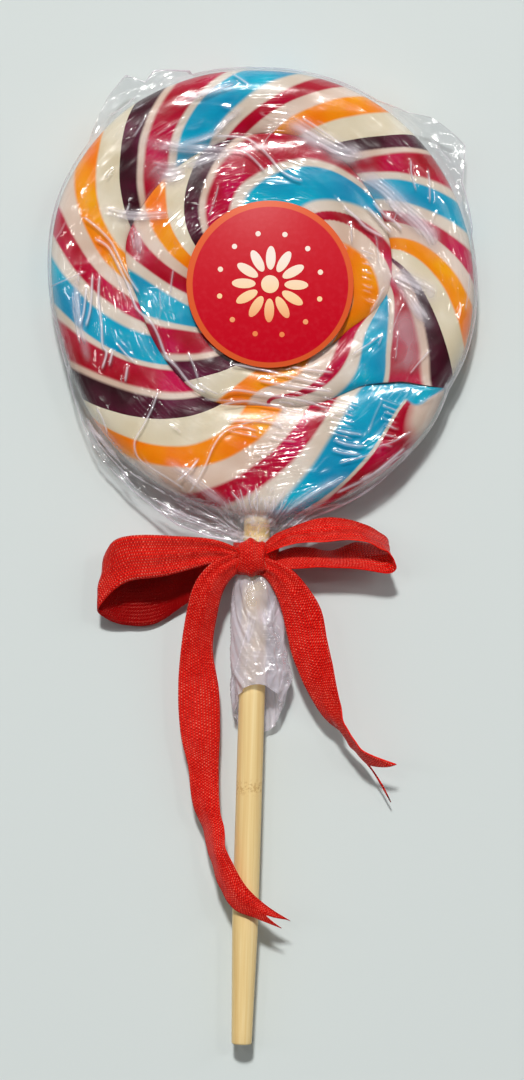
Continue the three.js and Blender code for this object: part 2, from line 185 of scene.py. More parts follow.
def smooth_through(table, x):
    """A smooth curve through (x, y) pairs that never overshoots them."""
    xs, ys = np.array(table, float).T
    slopes = np.diff(ys) / np.diff(xs)
    before, after = slopes[:-1], slopes[1:]
    same_way = before * after > 0
    tangents = np.where(same_way, 2 * before * after / np.where(same_way, before + after, 1), 0)
    tangents = np.concatenate((slopes[:1], tangents, slopes[-1:]))
    i = np.clip(np.searchsorted(xs, x, side="right") - 1, 0, len(xs) - 2)
    width = xs[i + 1] - xs[i]
    t = np.clip((x - xs[i]) / width, 0, 1)
    return cubic(t, width, ys[i], ys[i + 1], tangents[i], tangents[i + 1])


def smooth_step(low, high, x):
    t = np.clip((x - low) / (high - low), 0, 1)
    return t * t * (3 - 2 * t)


# %% The coil's sizes, as in the CAD source but for the rim beside the stick
DISC_HALF_X, DISC_HALF_Y = 50.1, 53.2
candy_low, candy_high = (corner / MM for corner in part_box("candy"))
DISC_THICKNESS = candy_high.z - candy_low.z
MID_Z = (candy_high.z + candy_low.z) / 2
SIDE_ROUND, BACK_ROUND = 7.5, 7.5
ROUND_POWER = 2.3
FACE_GROOVE, BACK_GROOVE = 3.4, 2
CREST_BLEND = 1.2  # mm of height over which the rounded side passes into the rope's own back
BURY_ANGLE = 26  # how soon the next turn hides the rope's outer side
CANDY_SAG = 2.6  # the turns of the soft rope have run together this deep

# Angles are in degrees, clockwise from +Y. Shares are of the nominal oval's radius.
ROPE_END, SEAM_INNER_END = 116, 896
SEAM = [
    (116, .963), (122, .752), (134, .615), (156, .55), (181, .505), (206, .545), (230, .552),
    (260, .584), (292, .69), (328, .69), (374, .71), (404, .667), (446, .593), (475, .425),
    (518, .345), (640, .3), (758, .22), (836, .1), (896, 0),
]
RIM = [
    (116, .963), (128, .981), (150, .985), (178, 1.0), (196, .985), (222, .984), (252, .975),
    (268, 1.0), (298, 1.054), (318, 1.05), (340, 1.018), (362, .991), (392, .999), (414, 1.003),
    (444, .997), (462, .988), (476, .963),
]


def oval_radius(angle):
    turn = np.radians(angle)
    return 1 / np.hypot(np.sin(turn) / DISC_HALF_X, np.cos(turn) / DISC_HALF_Y)


def rim_radius(angle, grow=0.0):
    return (oval_radius(angle) + grow) * smooth_through(RIM, ROPE_END + (angle - ROPE_END) % 360)


def edge_radius(angle, grow=0.0):
    """The rope's edge at an unwound angle: the rim before its end, the seam after it."""
    seam = (oval_radius(angle) + grow) * smooth_through(SEAM, angle)
    return np.where(angle < ROPE_END, rim_radius(angle, grow), seam)


def rounded_off(share):
    """A rounded shoulder: 1 at a share of 0, falling ever faster to 0 at 1."""
    return (1 - np.minimum(1, share) ** ROUND_POWER) ** (1 / ROUND_POWER)


def coil_height(angle, across, radius, side, grow=0.0, sag=CANDY_SAG):
    """How high a coiled surface lies, from across = 0 on the rope's outer side to 1 on its inner
    one. sag is about how deep it sinks into the grooves, in mm."""
    half = DISC_THICKNESS / 2 + grow
    rounding = grow + (SIDE_ROUND if side > 0 else BACK_ROUND)
    past_shoulder = np.maximum(0, radius - (rim_radius(angle, grow) - rounding))
    rim_height = half * rounded_off(past_shoulder / rounding)
    buried = smooth_step(ROPE_END + 360, ROPE_END + 360 + BURY_ANGLE, angle)
    seam_share = np.where(across > 0.5, 1, buried)
    deepest = FACE_GROOVE if side > 0 else BACK_GROOVE
    groove = deepest * seam_share * (1 - rounded_off(np.abs(2 * across - 1)))
    rope_height = half - sag * np.tanh(groove / sag)
    close = np.maximum(CREST_BLEND - np.abs(rim_height - rope_height), 0) / CREST_BLEND
    lower = np.minimum(rim_height, rope_height)
    return MID_Z + side * (lower - close**2 * CREST_BLEND / 4 * (lower > 1))


# %% [markdown]
# ## The stripes
# The sugar rope was built from five colours with white between them, so its section is a wheel of
# sectors. Twisting turns that wheel along the rope, and the stripes come out as slanting bands that
# carry on round the rim and under the disc. A hand does not twist evenly, so a table says where each
# sector's edge crosses the rope, and smooth curves run between. A UV map holds the result: its first
# value counts how many times the wheel has gone round at a point, and the material needs only its
# fraction. Its second value marks the blue skin that the maker folded over the rope's end.

# %% The wheel of colours, and how far it has turned
PURPLE, CRIMSON, BLUE, ORANGE = "#500e2a", "#ba0038", "#00a8ca", "#f69800"
CREAM, PINKISH, WHITE = "#e4dbc4", "#e1cdbe", "#dfd3c5"
SECTORS = [  # colour, and where its sector of the wheel ends
    (PURPLE, .125), (PINKISH, .155), (CRIMSON, .27), (WHITE, .31), (BLUE, .49), (WHITE, .54),
    (CRIMSON, .67), (PINKISH, .745), (ORANGE, .87), (CREAM, 1.0),
]
EDGE_CROSSINGS = [
    # where each sector's end in turn crosses the rope: at its outer side, middle and inner side
    (133, 124, 96), (166, 126.5, 106), (170, 129, 110), (178.5, 159, 132), (190.5, 169, 143),
    (200, 179.5, 157), (220, 190, 169), (232, 204, 187), (237.5, 219.5, 199), (247, 231, 209.5),
    (249.5, 234.5, 214), (261, 246, 228), (265.5, 248.5, 231), (278.5, 262.5, 247), (284, 269.5, 253.5),
    (292, 278.5, 263.5), (302, 286, 271.5), (314, 296.5, 284), (324.5, 308.5, 294), (333, 317.5, 302),
    (336, 321, 305.5), (349.5, 332.5, 319), (353.5, 336, 323), (367.5, 351, 337.5), (373, 359.5, 344),
    (380, 366, 351), (386, 373, 361), (393.5, 382.5, 370.5), (402.5, 392.5, 381), (407.5, 397.5, 387),
    (409, 400, 391), (419.5, 407.5, 396), (423.5, 410.5, 400), (432.5, 419.5, 408), (438, 424.5, 413),
    (446.5, 429, 418), (453, 434.5, 425), (464.5, 442, 429.5), (472.5, 452, 433.5), (486, 457.5, 435),
    (491, 463, 442), (527, 480, 445), (532.5, 483.5, 449.5), (533.5, 506.5, 454.5), (534.5, 520.5, 462),
    (536, 525, 480.5), (546, 536.5, 503), (562, 553.5, 541), (581, 570, 555), (594, 582.5, 570),
    (598, 587, 575), (614, 604.5, 591), (618, 608.5, 596), (638, 627, 611), (645, 634, 622),
    (656, 644, 634), (664.5, 651.5, 641), (678, 661, 650), (695, 670.5, 657), (708, 681, 666),
    (714, 686, 671), (760, 707, 688), (768, 716, 700), (776, 748, 730), (789, 755.5, 740),
    (802, 761, 750), (820, 775, 765),
]
STRIPE_EDGES = [(.13, 60, 30, 10), (.142, 126, 113, 80)]  # turns and crossings at the rope's end
for number, crossing in enumerate(EDGE_CROSSINGS, start=1):
    whole_turns, sector = divmod(number, len(SECTORS))
    STRIPE_EDGES.append((whole_turns + SECTORS[sector][1], *crossing))
STRIPE_EDGES += [(7.0, 870, 830, 820), (9.6, 1300, 1290, 1280)]  # the coil's heart, under the seal
BACK_LEAN = 52  # degrees that a stripe runs on from the rim to the rope's inner side, underneath
FREE_RIM_ENDS = 540  # by this angle the stripes are measured from the seam that buries the rope


def stripe_share(angle, across):
    """How far across the rope a point is, counted from the rim that the rope would have if the
    next turn didn't bury it, so that the stripes pass smoothly under that turn."""
    outer, inner = edge_radius(angle - 360), edge_radius(angle)
    buried = 1 - smooth_step(ROPE_END + 360, FREE_RIM_ENDS, angle)
    free = outer + (rim_radius(angle) - outer) * buried
    radius = outer * (1 - across) + inner * across
    return (free - radius) / np.maximum(free - inner, 0.001)


def stripe_turns(angle, across, side):
    """How many turns the wheel of colours has made at a point of the front or back."""
    turns, outer, middle, inner = np.array(STRIPE_EDGES).T
    share = stripe_share(angle, across)[:, None]
    crossings = outer + BACK_LEAN * share
    if side > 0:
        crossings = (
            (1 - share) * (1 - 2 * share) * outer + 4 * share * (1 - share) * middle
            + share * (2 * share - 1) * inner
        )
    rows = np.arange(len(angle))
    after = np.clip((crossings <= angle[:, None]).sum(axis=1), 1, len(turns) - 1)

    def steepness(number):
        number = np.clip(number, 1, len(turns) - 1)
        return (turns[number] - turns[number - 1]) / (crossings[rows, number] - crossings[rows, number - 1])

    before, here, beyond = steepness(after - 1), steepness(after), steepness(after + 1)
    enters, leaves = 2 * before * here / (before + here), 2 * here * beyond / (here + beyond)
    low, high = crossings[rows, after - 1], crossings[rows, after]
    t = np.clip((angle - low) / (high - low), 0, 1)
    return cubic(t, high - low, turns[after - 1], turns[after], enters, leaves)


def folded_skin(angle, across):
    """Where the blue skin was folded over the rope's end: 1 inside, 0.5 at its border, 0 outside."""
    return smooth_step(129, 122, angle) * smooth_step(0.15, 0.45, across)


# %% A grid laid by a function
def select_only(first, *others):
    bpy.ops.object.select_all(action="DESELECT")
    for piece in (first, *others):
        piece.select_set(True)
    bpy.context.view_layer.objects.active = first


def read_corners(mesh):
    """The corners of a mesh as rows of x, y and z."""
    corners = np.empty(len(mesh.vertices) * 3)
    mesh.vertices.foreach_get("co", corners)
    return corners.reshape(-1, 3)


def keep_number(mesh, name, values):
    """Keeps a number for each corner on the mesh, which a material can read by its name."""
    mesh.attributes.new(name, "FLOAT", "POINT").data.foreach_set("value", values)


def grid_patch(name, cells_along, cells_across, place, pattern, painted_inner_shade=None):
    """A grid primitive with its corners moved to place(along, across), in millimetres, a UV map
    from pattern(along, across) and a number from dullness(along, across) for each corner. Along and
    across run from 0 to 1."""
    bpy.ops.object.select_all(action="DESELECT")
    bpy.ops.mesh.primitive_grid_add(x_subdivisions=cells_along, y_subdivisions=cells_across, size=1)
    patch = bpy.context.object
    patch.name = name
    mesh = patch.data
    corners = read_corners(mesh)
    along = np.round((corners[:, 0] + 0.5) * cells_along) / cells_along
    across = np.round((corners[:, 1] + 0.5) * cells_across) / cells_across
    mesh.vertices.foreach_set("co", (np.stack(place(along, across), axis=1) * MM).ravel())
    owners = np.empty(len(mesh.loops), int)
    mesh.loops.foreach_get("vertex_index", owners)
    flat = np.stack(pattern(along, across), axis=1)[owners]
    mesh.uv_layers.active.data.foreach_set("uv", flat.ravel())
    if painted_inner_shade:
        keep_number(mesh, "painted_inner_shade", painted_inner_shade(along, across))
    mesh.update()
    return patch


def joined(name, first, *others):
    """One object from several, with the corners that meet merged and the faces turned outwards."""
    select_only(first, *others)
    if others:
        bpy.ops.object.join()
    first.name = name
    first.data.name = name
    bpy.ops.object.mode_set(mode="EDIT")
    bpy.ops.mesh.select_all(action="SELECT")
    bpy.ops.mesh.remove_doubles(threshold=0.002 * MM)
    bpy.ops.mesh.normals_make_consistent(inside=False)
    bpy.ops.object.mode_set(mode="OBJECT")
    bpy.ops.object.shade_smooth()
    return first


# %% Wind the candy
COIL_ROWS = [  # angle, number of rows up to it: they lie closer where the seam swings inwards
    (ROPE_END, 0), (150, 110), (470, 430), (510, 570), (SEAM_INNER_END + 360, 1320),
]
FACE_CELLS, BACK_CELLS = 44, 12
FLUTES, FLUTE_DEPTH = 5, 0.12  # grooves along the rope to a turn of the wheel, and how deep they are


def candy_side(side):
    """The coil's front (side 1) or back (side -1)."""
    def where(along, across):
        angles, rows = np.array(COIL_ROWS, float).T
        return np.interp(along * rows[-1], rows, angles), (1 - np.cos(math.pi * across)) / 2

    def place(along, across):
        angle, across = where(along, across)
        radius = edge_radius(angle - 360) * (1 - across) + edge_radius(angle) * across
        flute_turns = FLUTES * 2 * math.pi * stripe_turns(angle, across, side)
        flute = FLUTE_DEPTH * (1 - np.cos(flute_turns)) / 2
        height = coil_height(angle, across, radius, side) - side * flute * 4 * across * (1 - across)
        turn = np.radians(angle)
        return radius * np.sin(turn), radius * np.cos(turn), height

    def pattern(along, across):
        angle, across = where(along, across)
        return stripe_turns(angle, across, side), folded_skin(angle, across)

    cells = FACE_CELLS if side > 0 else BACK_CELLS
    return grid_patch(f"candy side {side}", COIL_ROWS[-1][1], cells, place, pattern)


candy = joined("coiled_candy", candy_side(1), candy_side(-1))
print("candy:", len(candy.data.polygons), "faces")

# %% [markdown]
# The stick was pushed into the soft rope, so the candy has a hole for it. A Boolean cuts it.

# %% Bore the hole for the stick
STICK_RADIUS = 3.1
STICK_TOP_Y, STICK_END_Y, STICK_Z = -14, -178.5, 6.95
FIT = 0.05
ALONG_Y = (math.pi / 2, 0, 0)  # the turn that lays a cylinder along the stick


def finish_with(piece, kind, **settings):
    """Adds a modifier and applies it."""
    select_only(piece)
    modifier = piece.modifiers.new(kind.title(), kind)
    for name, value in settings.items():
        setattr(modifier, name, value)
    bpy.ops.object.modifier_apply(modifier=modifier.name)


def cylinder(name, middle, radius, length, sides, turn=(0, 0, 0), stretch=(1, 1, 1)):
    """A cylinder in millimetres whose mesh holds its place and turn: its object is at the origin."""
    bpy.ops.object.select_all(action="DESELECT")
    bpy.ops.mesh.primitive_cylinder_add(
        vertices=sides, radius=radius * MM, depth=length * MM, location=Vector(middle) * MM, rotation=turn,
    )
    piece = bpy.context.object
    piece.name = name
    piece.scale = stretch
    bpy.ops.object.transform_apply(location=True, rotation=True, scale=True)
    return piece


hole_length = 1.2 * DISC_HALF_Y + STICK_TOP_Y  # from the stick's top to well past the rim
hole_middle = (0, STICK_TOP_Y + FIT - hole_length / 2, STICK_Z)
drill = cylinder("drill", hole_middle, STICK_RADIUS + FIT, hole_length, 48, ALONG_Y)
finish_with(candy, "BOOLEAN", operation="DIFFERENCE", object=drill, solver="MANIFOLD")
bpy.data.objects.remove(drill)
print("bored candy:", len(candy.data.polygons), "faces")

# %% [markdown]
# ## Hard candy
# Boiled sugar is a glass: hard, clear-ish and glossy, with pigment or air pulled into it. Pulled
# white is full of tiny bubbles, so it glows a little, and the colours bleed into it by a fraction
# of a millimetre, which turns the white next to crimson pink. A colour ramp over the fraction of
# the UV map's first value lays the sectors with slightly soft edges, and noise makes them wander.
# A slow cloud of noise deepens and thins the colour, as uneven pulling does, and faint dimples keep
# its gloss from looking machined.

# %% Boiled sugar, pulled and striped
BLEED = 0.007  # half the width of a soft edge, in turns of the wheel

sector_stops = []
sector_start = 0.0
for colour, sector_end in SECTORS:
    sector_stops.append((sector_start + BLEED, colour))
    sector_stops.append((sector_end - BLEED, colour))
    sector_start = sector_end

boiled_sugar, add = start_material("boiled sugar, pulled and striped")
turns_read, fold_read, _ = add("SeparateXYZ", add("UVMap", uv_map="UVMap")).outputs
here = add("TexCoord").outputs["Object"]
wander = add("TexNoise", {"Vector": here, "Scale": 70.0, "Detail": 1.0})
wandered = add("Math", wander, 0.024, turns_read, operation="MULTIPLY_ADD")
centred = add("Math", wandered, 0.012, operation="SUBTRACT")
fraction = add("Math", centred, operation="FRACT")
sectors = add("ValToRGB", fraction, stops=sector_stops)
in_fold = add("MapRange", fold_read, 0.38, 0.62)
skinned = add("Mix", {0: in_fold, 6: sectors, 7: BLUE}, data_type="RGBA")
cloud = add("TexNoise", {"Vector": here, "Scale": 75.0, "Detail": 2.0})
depth = add("MapRange", cloud, 0.35, 0.65, 1.45, 0.82)
tinted = add("Gamma", {"Color": skinned, "Gamma": depth})
dimple = add("TexNoise", {"Vector": here, "Scale": 500.0, "Detail": 2.0})
surface = add("Bump", {"Height": dimple, "Strength": 0.15, "Distance": 0.0003})
sugar = add("BsdfPrincipled", {
    "Base Color": tinted, "Roughness": 0.24, "IOR": 1.36, "Normal": surface,
    "Subsurface Weight": 0.1, "Subsurface Radius": (1.0, 0.7, 0.6), "Subsurface Scale": 0.0008,
})
paint([candy], boiled_sugar, sugar)
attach(candy, "root")
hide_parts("candy")

# %% [markdown]
# ## The film bag
# The bag is two clear sheets, sealed along their edges. Over the disc each sheet is drawn tight, so
# it follows the rope and bridges the bottom of the seam. From the disc's shoulder it runs straight
# out to the sealed edge, which stands up as crumpled corners at the top and as a skirt that narrows
# to the neck. A flat grid is pulled to the bag's outline, cut finer along the creases, and raised
# to the height that a function gives. The back sheet has fewer cells and no creases.

# %% The bag's outline and its tight height
FILM_CLEARANCE = 0.3
FILM_SAG = {1: 1.1, -1: 0.3}  # how deep a sheet sinks into the grooves, in front and behind
LIP_HALF = 0.08  # half the gap where the two sheets lie together
TIGHT_GAP = 0.8  # how far past the rim the drawn sheets meet
EDGE_SEAL = 0.05  # the least that the sealed edge reaches past that
BAG_REACH = [  # angle, distance of the sealed edge from the middle
    (0, 0), (24, 52), (37, 54.9), (42, 57.6), (48, 58.9), (52, 59.4), (59, 54), (71, 51.9), (80, 49),
    (117, 49.4), (125, 50.6), (138, 51.4), (150, 53.2), (166, 54.6), (180, 59.8), (199, 58.8),
    (206, 57.1), (216, 55.8), (226, 54.6), (235, 52.4), (244, 50.7), (254, 48.9), (300, 50),
    (309, 54.8), (320, 59.6), (326, 61.2), (329, 57.4), (332, 59), (340, 55.7), (352, 0), (360, 0),
]
NECK = [  # y, half width, half height of the gathered bag round the stick
    (-60, 4.6, 4.6), (-59, 4.6, 4.6), (-55, 7, 5.2), (-50, 11, 5.4), (-43, 15, 5.0), (-36, 18, 3.0),
]
NECK_TOP = NECK[-1][0]


def bag_edge(angle):
    reach = np.interp(angle % 360, *np.array(BAG_REACH, float).T)
    return np.maximum(rim_radius(angle) + TIGHT_GAP + EDGE_SEAL, reach)


def tight_height(angle, radius, side):
    """How far a tight sheet lies from the disc's middle plane, or minus infinity past its rim."""
    first = ROPE_END + (angle - ROPE_END) % 360
    height = np.full(np.shape(radius), -np.inf)
    for turn in range(4):
        unwound = first + 360 * turn
        outer = edge_radius(unwound - 360, FILM_CLEARANCE)
        inner = edge_radius(unwound, FILM_CLEARANCE)
        across = np.clip((outer - radius) / np.maximum(outer - inner, 0.01), 0, 1)
        over = coil_height(unwound, across, radius, side, FILM_CLEARANCE, FILM_SAG[side])
        height = np.where((radius <= outer) & (radius >= inner), side * (over - MID_Z), height)
    return height


SKIRT_ANGLES = np.arange(0, 361, 1.0)


def skirt_table(side):
    """For each angle, where a sheet leaves the candy and how steeply it runs to the sealed edge. It
    leaves where the line to that edge is steepest, so it touches the candy and cuts nowhere."""
    meet = (rim_radius(SKIRT_ANGLES) + TIGHT_GAP)[:, None]
    radii = meet * np.linspace(0.55, 0.999, 160)[None, :]  # places to try, from well inside the rim
    angles = np.broadcast_to(SKIRT_ANGLES[:, None], radii.shape)
    steepness = (tight_height(angles, radii, side) - LIP_HALF) / (meet - radii)
    best = np.argmax(steepness, axis=1)
    rows = np.arange(len(SKIRT_ANGLES))
    return radii[rows, best], steepness[rows, best]


SKIRTS = {side: skirt_table(side) for side in (1, -1)}
print("the front sheet leaves the candy at", round(float(SKIRTS[1][0].mean()), 1), "mm")

# %% [markdown]
# Film can't stretch, so wherever it has to shorten it buckles into creases, which stand up as thin
# folds whose crests are painted white, partly as whitened film and partly as painted glints. The
# long ones are drawn as strokes of a few points. Short ones are made by functions: scattered, in
# rows side by side, fanned out from the neck, and laid along the painted glare bands over the
# valleys of the coil. Between them noise that is squeezed across the pull crumples the sheet a
# little. All of this adds to the tight height.

# %% Creases
LONG_CREASES = [  # height mm, half width mm, points x, y
    (.45, .5, [(-43.3, 16.5), (-39.9, 14), (-36.7, 11), (-34.9, 8), (-32.4, 3.1), (-29.2, -1.6)]),
    (.5, .5, [(-40.5, 11.4), (-37.1, 9.4), (-34.6, 5.2), (-32.1, .5), (-29.8, -4.9), (-26.4, -8.1),
              (-24.6, -11.2), (-22.6, -15.9), (-19.9, -18.6), (-16.4, -22.6), (-12.6, -24.4)]),
    (.5, .5, [(-41.8, .4), (-42.3, -6.2), (-43.4, -10.3)]),
    (.5, .5, [(-40.5, 3.1), (-40.7, -5), (-41.8, -10)]),
    (.5, .5, [(-38.8, 3.1), (-38.9, -2.6), (-38, -9), (-37.6, -13.9), (-36.6, -15.6), (-37.7, -19.9)]),
    (.5, .5, [(-35, -14.3), (-36, -19.1)]),
    (.5, .5, [(-31.5, -17.8), (-32.1, -22.8)]),
    (.38, .42, [(-24, -23.8), (-25.5, -28.3), (-27.3, -32.2), (-29.3, -36), (-29, -39.1),
                (-27.5, -41), (-24.6, -42.8), (-21.2, -44.8), (-17.1, -47.3)]),
    (.5, .5, [(-14, -39.6), (-16.5, -43), (-19.6, -45.7)]),
    (.36, .42, [(-.2, -33), (-3.6, -32.2), (-6.2, -32.3), (-8.7, -33.8), (-10.8, -36.9),
                (-12.8, -42), (-15, -46.1), (-16.4, -48.2)]),
    (.45, .5, [(-7.6, -17.3), (-.6, -18.3), (6.5, -19.8), (15.6, -21.6)]),
    (.45, .5, [(6.5, -17.6), (17.2, -18.7)]),
    (.45, .5, [(-1, -20.9), (6.6, -22.1), (17.3, -23.2)]),
    (.45, .5, [(-10, -24.8), (-6.2, -23.5), (.2, -24.2), (9.3, -25.4), (16.5, -27.3)]),
    (.45, .5, [(-9.4, -27.1), (-3.7, -26), (2.2, -26.8), (7, -27.6)]),
    (.45, .5, [(-8.1, -30.9), (-2.4, -30.5), (3.5, -31), (5.9, -31.9)]),
    (.35, .45, [(17.6, -32), (20.9, -32.6), (24.7, -33.2)]),
    (.35, .45, [(17.2, -34.4), (21, -35.5), (25.3, -35.8)]),
    (.35, .45, [(16.8, -36.8), (20.4, -37.6), (24.4, -37.8)]),
    (.35, .45, [(29.4, -30.3), (32.3, -31.6)]),
    (.35, .45, [(28.5, -32.7), (32.4, -33.5)]),
    (.35, .45, [(27.9, -35.1), (31.7, -35.7)]),
    (.45, .55, [(-13, 36.2), (-9.6, 36.3), (-5.3, 36), (-2, 33.9), (.5, 31.6), (2.9, 28.8),
                (5.9, 27), (8.7, 26.2)]),
    (.4, .5, [(-12.1, 32.4), (-8.6, 33), (-5.2, 32.4), (-2.3, 30.1), (-.3, 27.8)]),
    (.45, .6, [(7.3, 41.3), (10.2, 39.7), (13.6, 37.5), (18.2, 34.5), (20.9, 32.2)]),
    (.5, .6, [(23.1, 21.1), (25.1, 19.3), (28, 16.3), (30, 14.4)]),
    (.5, .6, [(25, 22.1), (27.5, 19.3), (30.9, 16.8), (32.3, 15)]),
    (.5, .6, [(28.3, 22.9), (30.3, 20.1), (32.7, 17.8)]),
    (.5, .6, [(17.9, 20.7), (21.3, 18), (23.8, 15.7), (28.1, 13.4)]),
    (.5, .6, [(33.4, -37.5), (28.8, -41.2), (23.6, -44.2)]),
    (.5, .6, [(34.6, -35.6), (26.5, -42.7), (18.3, -47.2)]),
]
GLARE_BANDS = [  # share of light scattered, half width mm, points x, y
    # Over the valleys between turns the film's glare is painted as bands of white haze; the denser ones
    # also get fine folds.
    (1, 2.2, [(-27.7, 28.2), (-23, 27.3), (-18.8, 28.6)]),
    (.8, 1.2, [(-20, 28.2), (-15.8, 30.5), (-9, 33)]),
    (.7, 1.2, [(-29, 34.6), (-21.8, 33.5), (-10, 33)]),
    (.8, 1.0, [(-37.9, 18.2), (-31.5, 17), (-22.9, 17.7)]),
    (.8, .7, [(-21.8, 33.5), (-13.7, 36.4), (-10, 40), (-6.6, 43)]),
    (.7, .7, [(-21, 43.5), (-15, 46.4), (-8, 49.2)]),
    (1, 1.9, [(4.5, 40.2), (11.3, 36.2), (17.3, 33.4), (22.5, 32.4)]),
    (.9, 2.0, [(21.8, 28.3), (27, 25.5), (31.9, 20.8), (37.1, 16.4), (40.1, 11.7)]),
    (.9, 2.0, [(29.4, 5.8), (33.8, 3.5), (40.8, .1)]),
    (1, 1.4, [(31.3, 4.8), (35.2, -1.6), (38.8, -6.5)]),
    (.4, 3.8, [(32.8, -3), (34, -11), (33.6, -18.5)]),
    (.55, 1.8, [(-7, -51.5), (0, -53.5), (7, -51.5)]),
    (.6, 1.2, [(-31.1, 14.8), (-30.2, 11.3), (-29.4, 7.2)]),
    (.6, .8, [(-44.5, 2), (-43.5, -8), (-41, -17)]),
    (.6, 1.0, [(-21, -41), (-12, -47.5), (-5, -52.5)]),
    (.6, 1.0, [(20.5, -43), (12, -48), (5, -53.5)]),
]
GATHERED_SHARE = 0.6  # bands that scatter less than this are smooth, without folds of their own
FOLD_STEP = 0.75  # mm from one gathered fold to the next
FINE_FOLD = 0.27  # mm, half the width of the finest folds
CREASE_ENDS = 1.5  # mm over which a crease fades out
# The crests' white is partly whitened film and partly a painted glint.
CREST_SHARE = 0.5  # of a fold's half width, which has whitened
WHITE_RISE = 0.5  # mm, the height of a fold whose crest is quite white


def smooth_line(points, steps):
    """Points of a smooth curve through the given ones, evenly many between each pair."""
    points = np.array(points, float)
    padded = np.vstack((2 * points[0] - points[1], points, 2 * points[-1] - points[-2]))
    t = np.linspace(0, len(points) - 1, steps + 1)
    i = np.minimum(t.astype(int), len(points) - 2)
    t = (t - i)[:, None]
    a, b, c, d = (padded[i + k] for k in range(4))
    return 0.5 * (2 * b + (c - a) * t + (2 * a - 5 * b + 4 * c - d) * t**2 + (3 * b - a - 3 * c + d) * t**3)


def near_line(x, y, points, reach):
    """For places within reach of a line: which they are, how far off, and how far from its ends."""
    line = smooth_line(points, 6 * len(points))
    close = np.flatnonzero(
        (x > line[:, 0].min() - reach) & (x < line[:, 0].max() + reach)
        & (y > line[:, 1].min() - reach) & (y < line[:, 1].max() + reach)
    )
    start, step = line[:-1], np.diff(line, axis=0)
    lengths = np.hypot(*step.T)
    walked = np.concatenate(([0], np.cumsum(lengths)))
    offset = np.stack((x[close], y[close]), axis=1)[:, None, :] - start
    share = np.clip((offset * step).sum(axis=2) / lengths**2, 0, 1)
    distance = np.hypot(*np.moveaxis(offset - share[..., None] * step, 2, 0))
    nearest = distance.argmin(axis=1)
    rows = np.arange(len(close))
    place = walked[nearest] + share[rows, nearest] * lengths[nearest]
    return close, distance[rows, nearest], np.minimum(place, walked[-1] - place)


def crease(x, y, points, rise, half_width):
    """One fold: the places it reaches, how high it lifts them, and how white its crest is painted, partly
    as whitened film and partly as a painted glint.
    """
    close, distance, to_end = near_line(x, y, points, 4 * half_width)
    faded = smooth_step(0, CREASE_ENDS, to_end)
    lift = rise * np.exp(-(distance / half_width) ** 1.6) * faded
    white = np.exp(-(distance / (CREST_SHARE * half_width)) ** 2) * faded * rise / WHITE_RISE
    return close, lift, white


def creased(x, y, creases):
    """The height that all the folds add, and the share of light that their crests scatter, painted as
    whitened film and glint.
    """
    height, haze_and_glare = np.zeros(len(x)), np.zeros(len(x))
    for rise, half_width, points in creases:
        close, lift, white = crease(x, y, points, rise, half_width)
        height[close] += lift
        haze_and_glare[close] = np.maximum(haze_and_glare[close], white)
    return height, haze_and_glare


# %% Fine crinkles
PULL_TO = np.array((0.0, -60.0))  # the neck, which the folds run to
LATTICE = 64  # random heights along each side of the lattice, which then repeats


def lattice_noise(u, v, layers, seed):
    """Smooth noise from -1 to 1 on a lattice of random heights, one for each layer."""
    lattice = np.random.default_rng(seed)
    total = np.zeros(len(u))
    for size, weight in layers:
        heights = lattice.uniform(-1, 1, (LATTICE, LATTICE))
        a, b = u / size, v / size
        i, j = np.floor(a).astype(int), np.floor(b).astype(int)
        s, t = smooth_step(0, 1, a - i), smooth_step(0, 1, b - j)
        i, j, right, above = i % LATTICE, j % LATTICE, (i + 1) % LATTICE, (j + 1) % LATTICE
        low = heights[i, j] * (1 - s) + heights[right, j] * s
        high = heights[i, above] * (1 - s) + heights[right, above] * s
        total += weight * (low * (1 - t) + high * t)
    return total


def scattered_creases(count, seed):
    """Short straight folds, which mostly run round the disc as the film is pulled inwards."""
    scatter = np.random.default_rng(seed)
    creases = []
    for _ in range(count):
        middle = scatter.uniform(-50, 50, 2)
        turn = math.atan2(middle[0], -middle[1]) + scatter.normal(0, 0.45)
        reach = scatter.uniform(1.2, 5.5) * np.array((math.cos(turn), math.sin(turn)))
        bend = scatter.uniform(-0.5, 0.5, 2)
        creases.append((scatter.uniform(0.12, 0.4), scatter.uniform(0.3, 0.5),
                        [middle - reach, middle + bend, middle + reach]))
    return creases


def creases_side_by_side(first, step, run, count, seed):
    """Fine folds in a row. Each starts a step on from the last one and runs the same way."""
    scatter = np.random.default_rng(seed)
    first, step, run = (np.array(values, float) for values in (first, step, run))
    creases = []
    for number in range(count):
        start = first + number * step + scatter.normal(0, 0.5) * run / 7
        length = scatter.uniform(0.7, 1.2)
        middle = start + 0.5 * length * run + scatter.normal(0, 0.15, 2)
        creases.append((scatter.uniform(0.2, 0.42), FINE_FOLD, [start, middle, start + length * run]))
    return creases


def creases_from_neck(count, seed):
    """Fine folds that fan out from the neck, where the bag is drawn together."""
    scatter = np.random.default_rng(seed)
    creases = []
    for fan in np.radians(np.linspace(-82, 82, count)):
        way = np.array((math.sin(fan), math.cos(fan)))
        near, far = scatter.uniform(5, 9), scatter.uniform(10, 15)
        far += 17 * smooth_step(45, 75, abs(math.degrees(fan)))  # along the skirt they run further
        sideways = scatter.normal(0, 0.6) * np.array((way[1], -way[0]))
        first, last = PULL_TO + near * way, PULL_TO + far * way
        creases.append((scatter.uniform(0.25, 0.55), 0.32, [first, (first + last) / 2 + sideways, last]))
    return creases


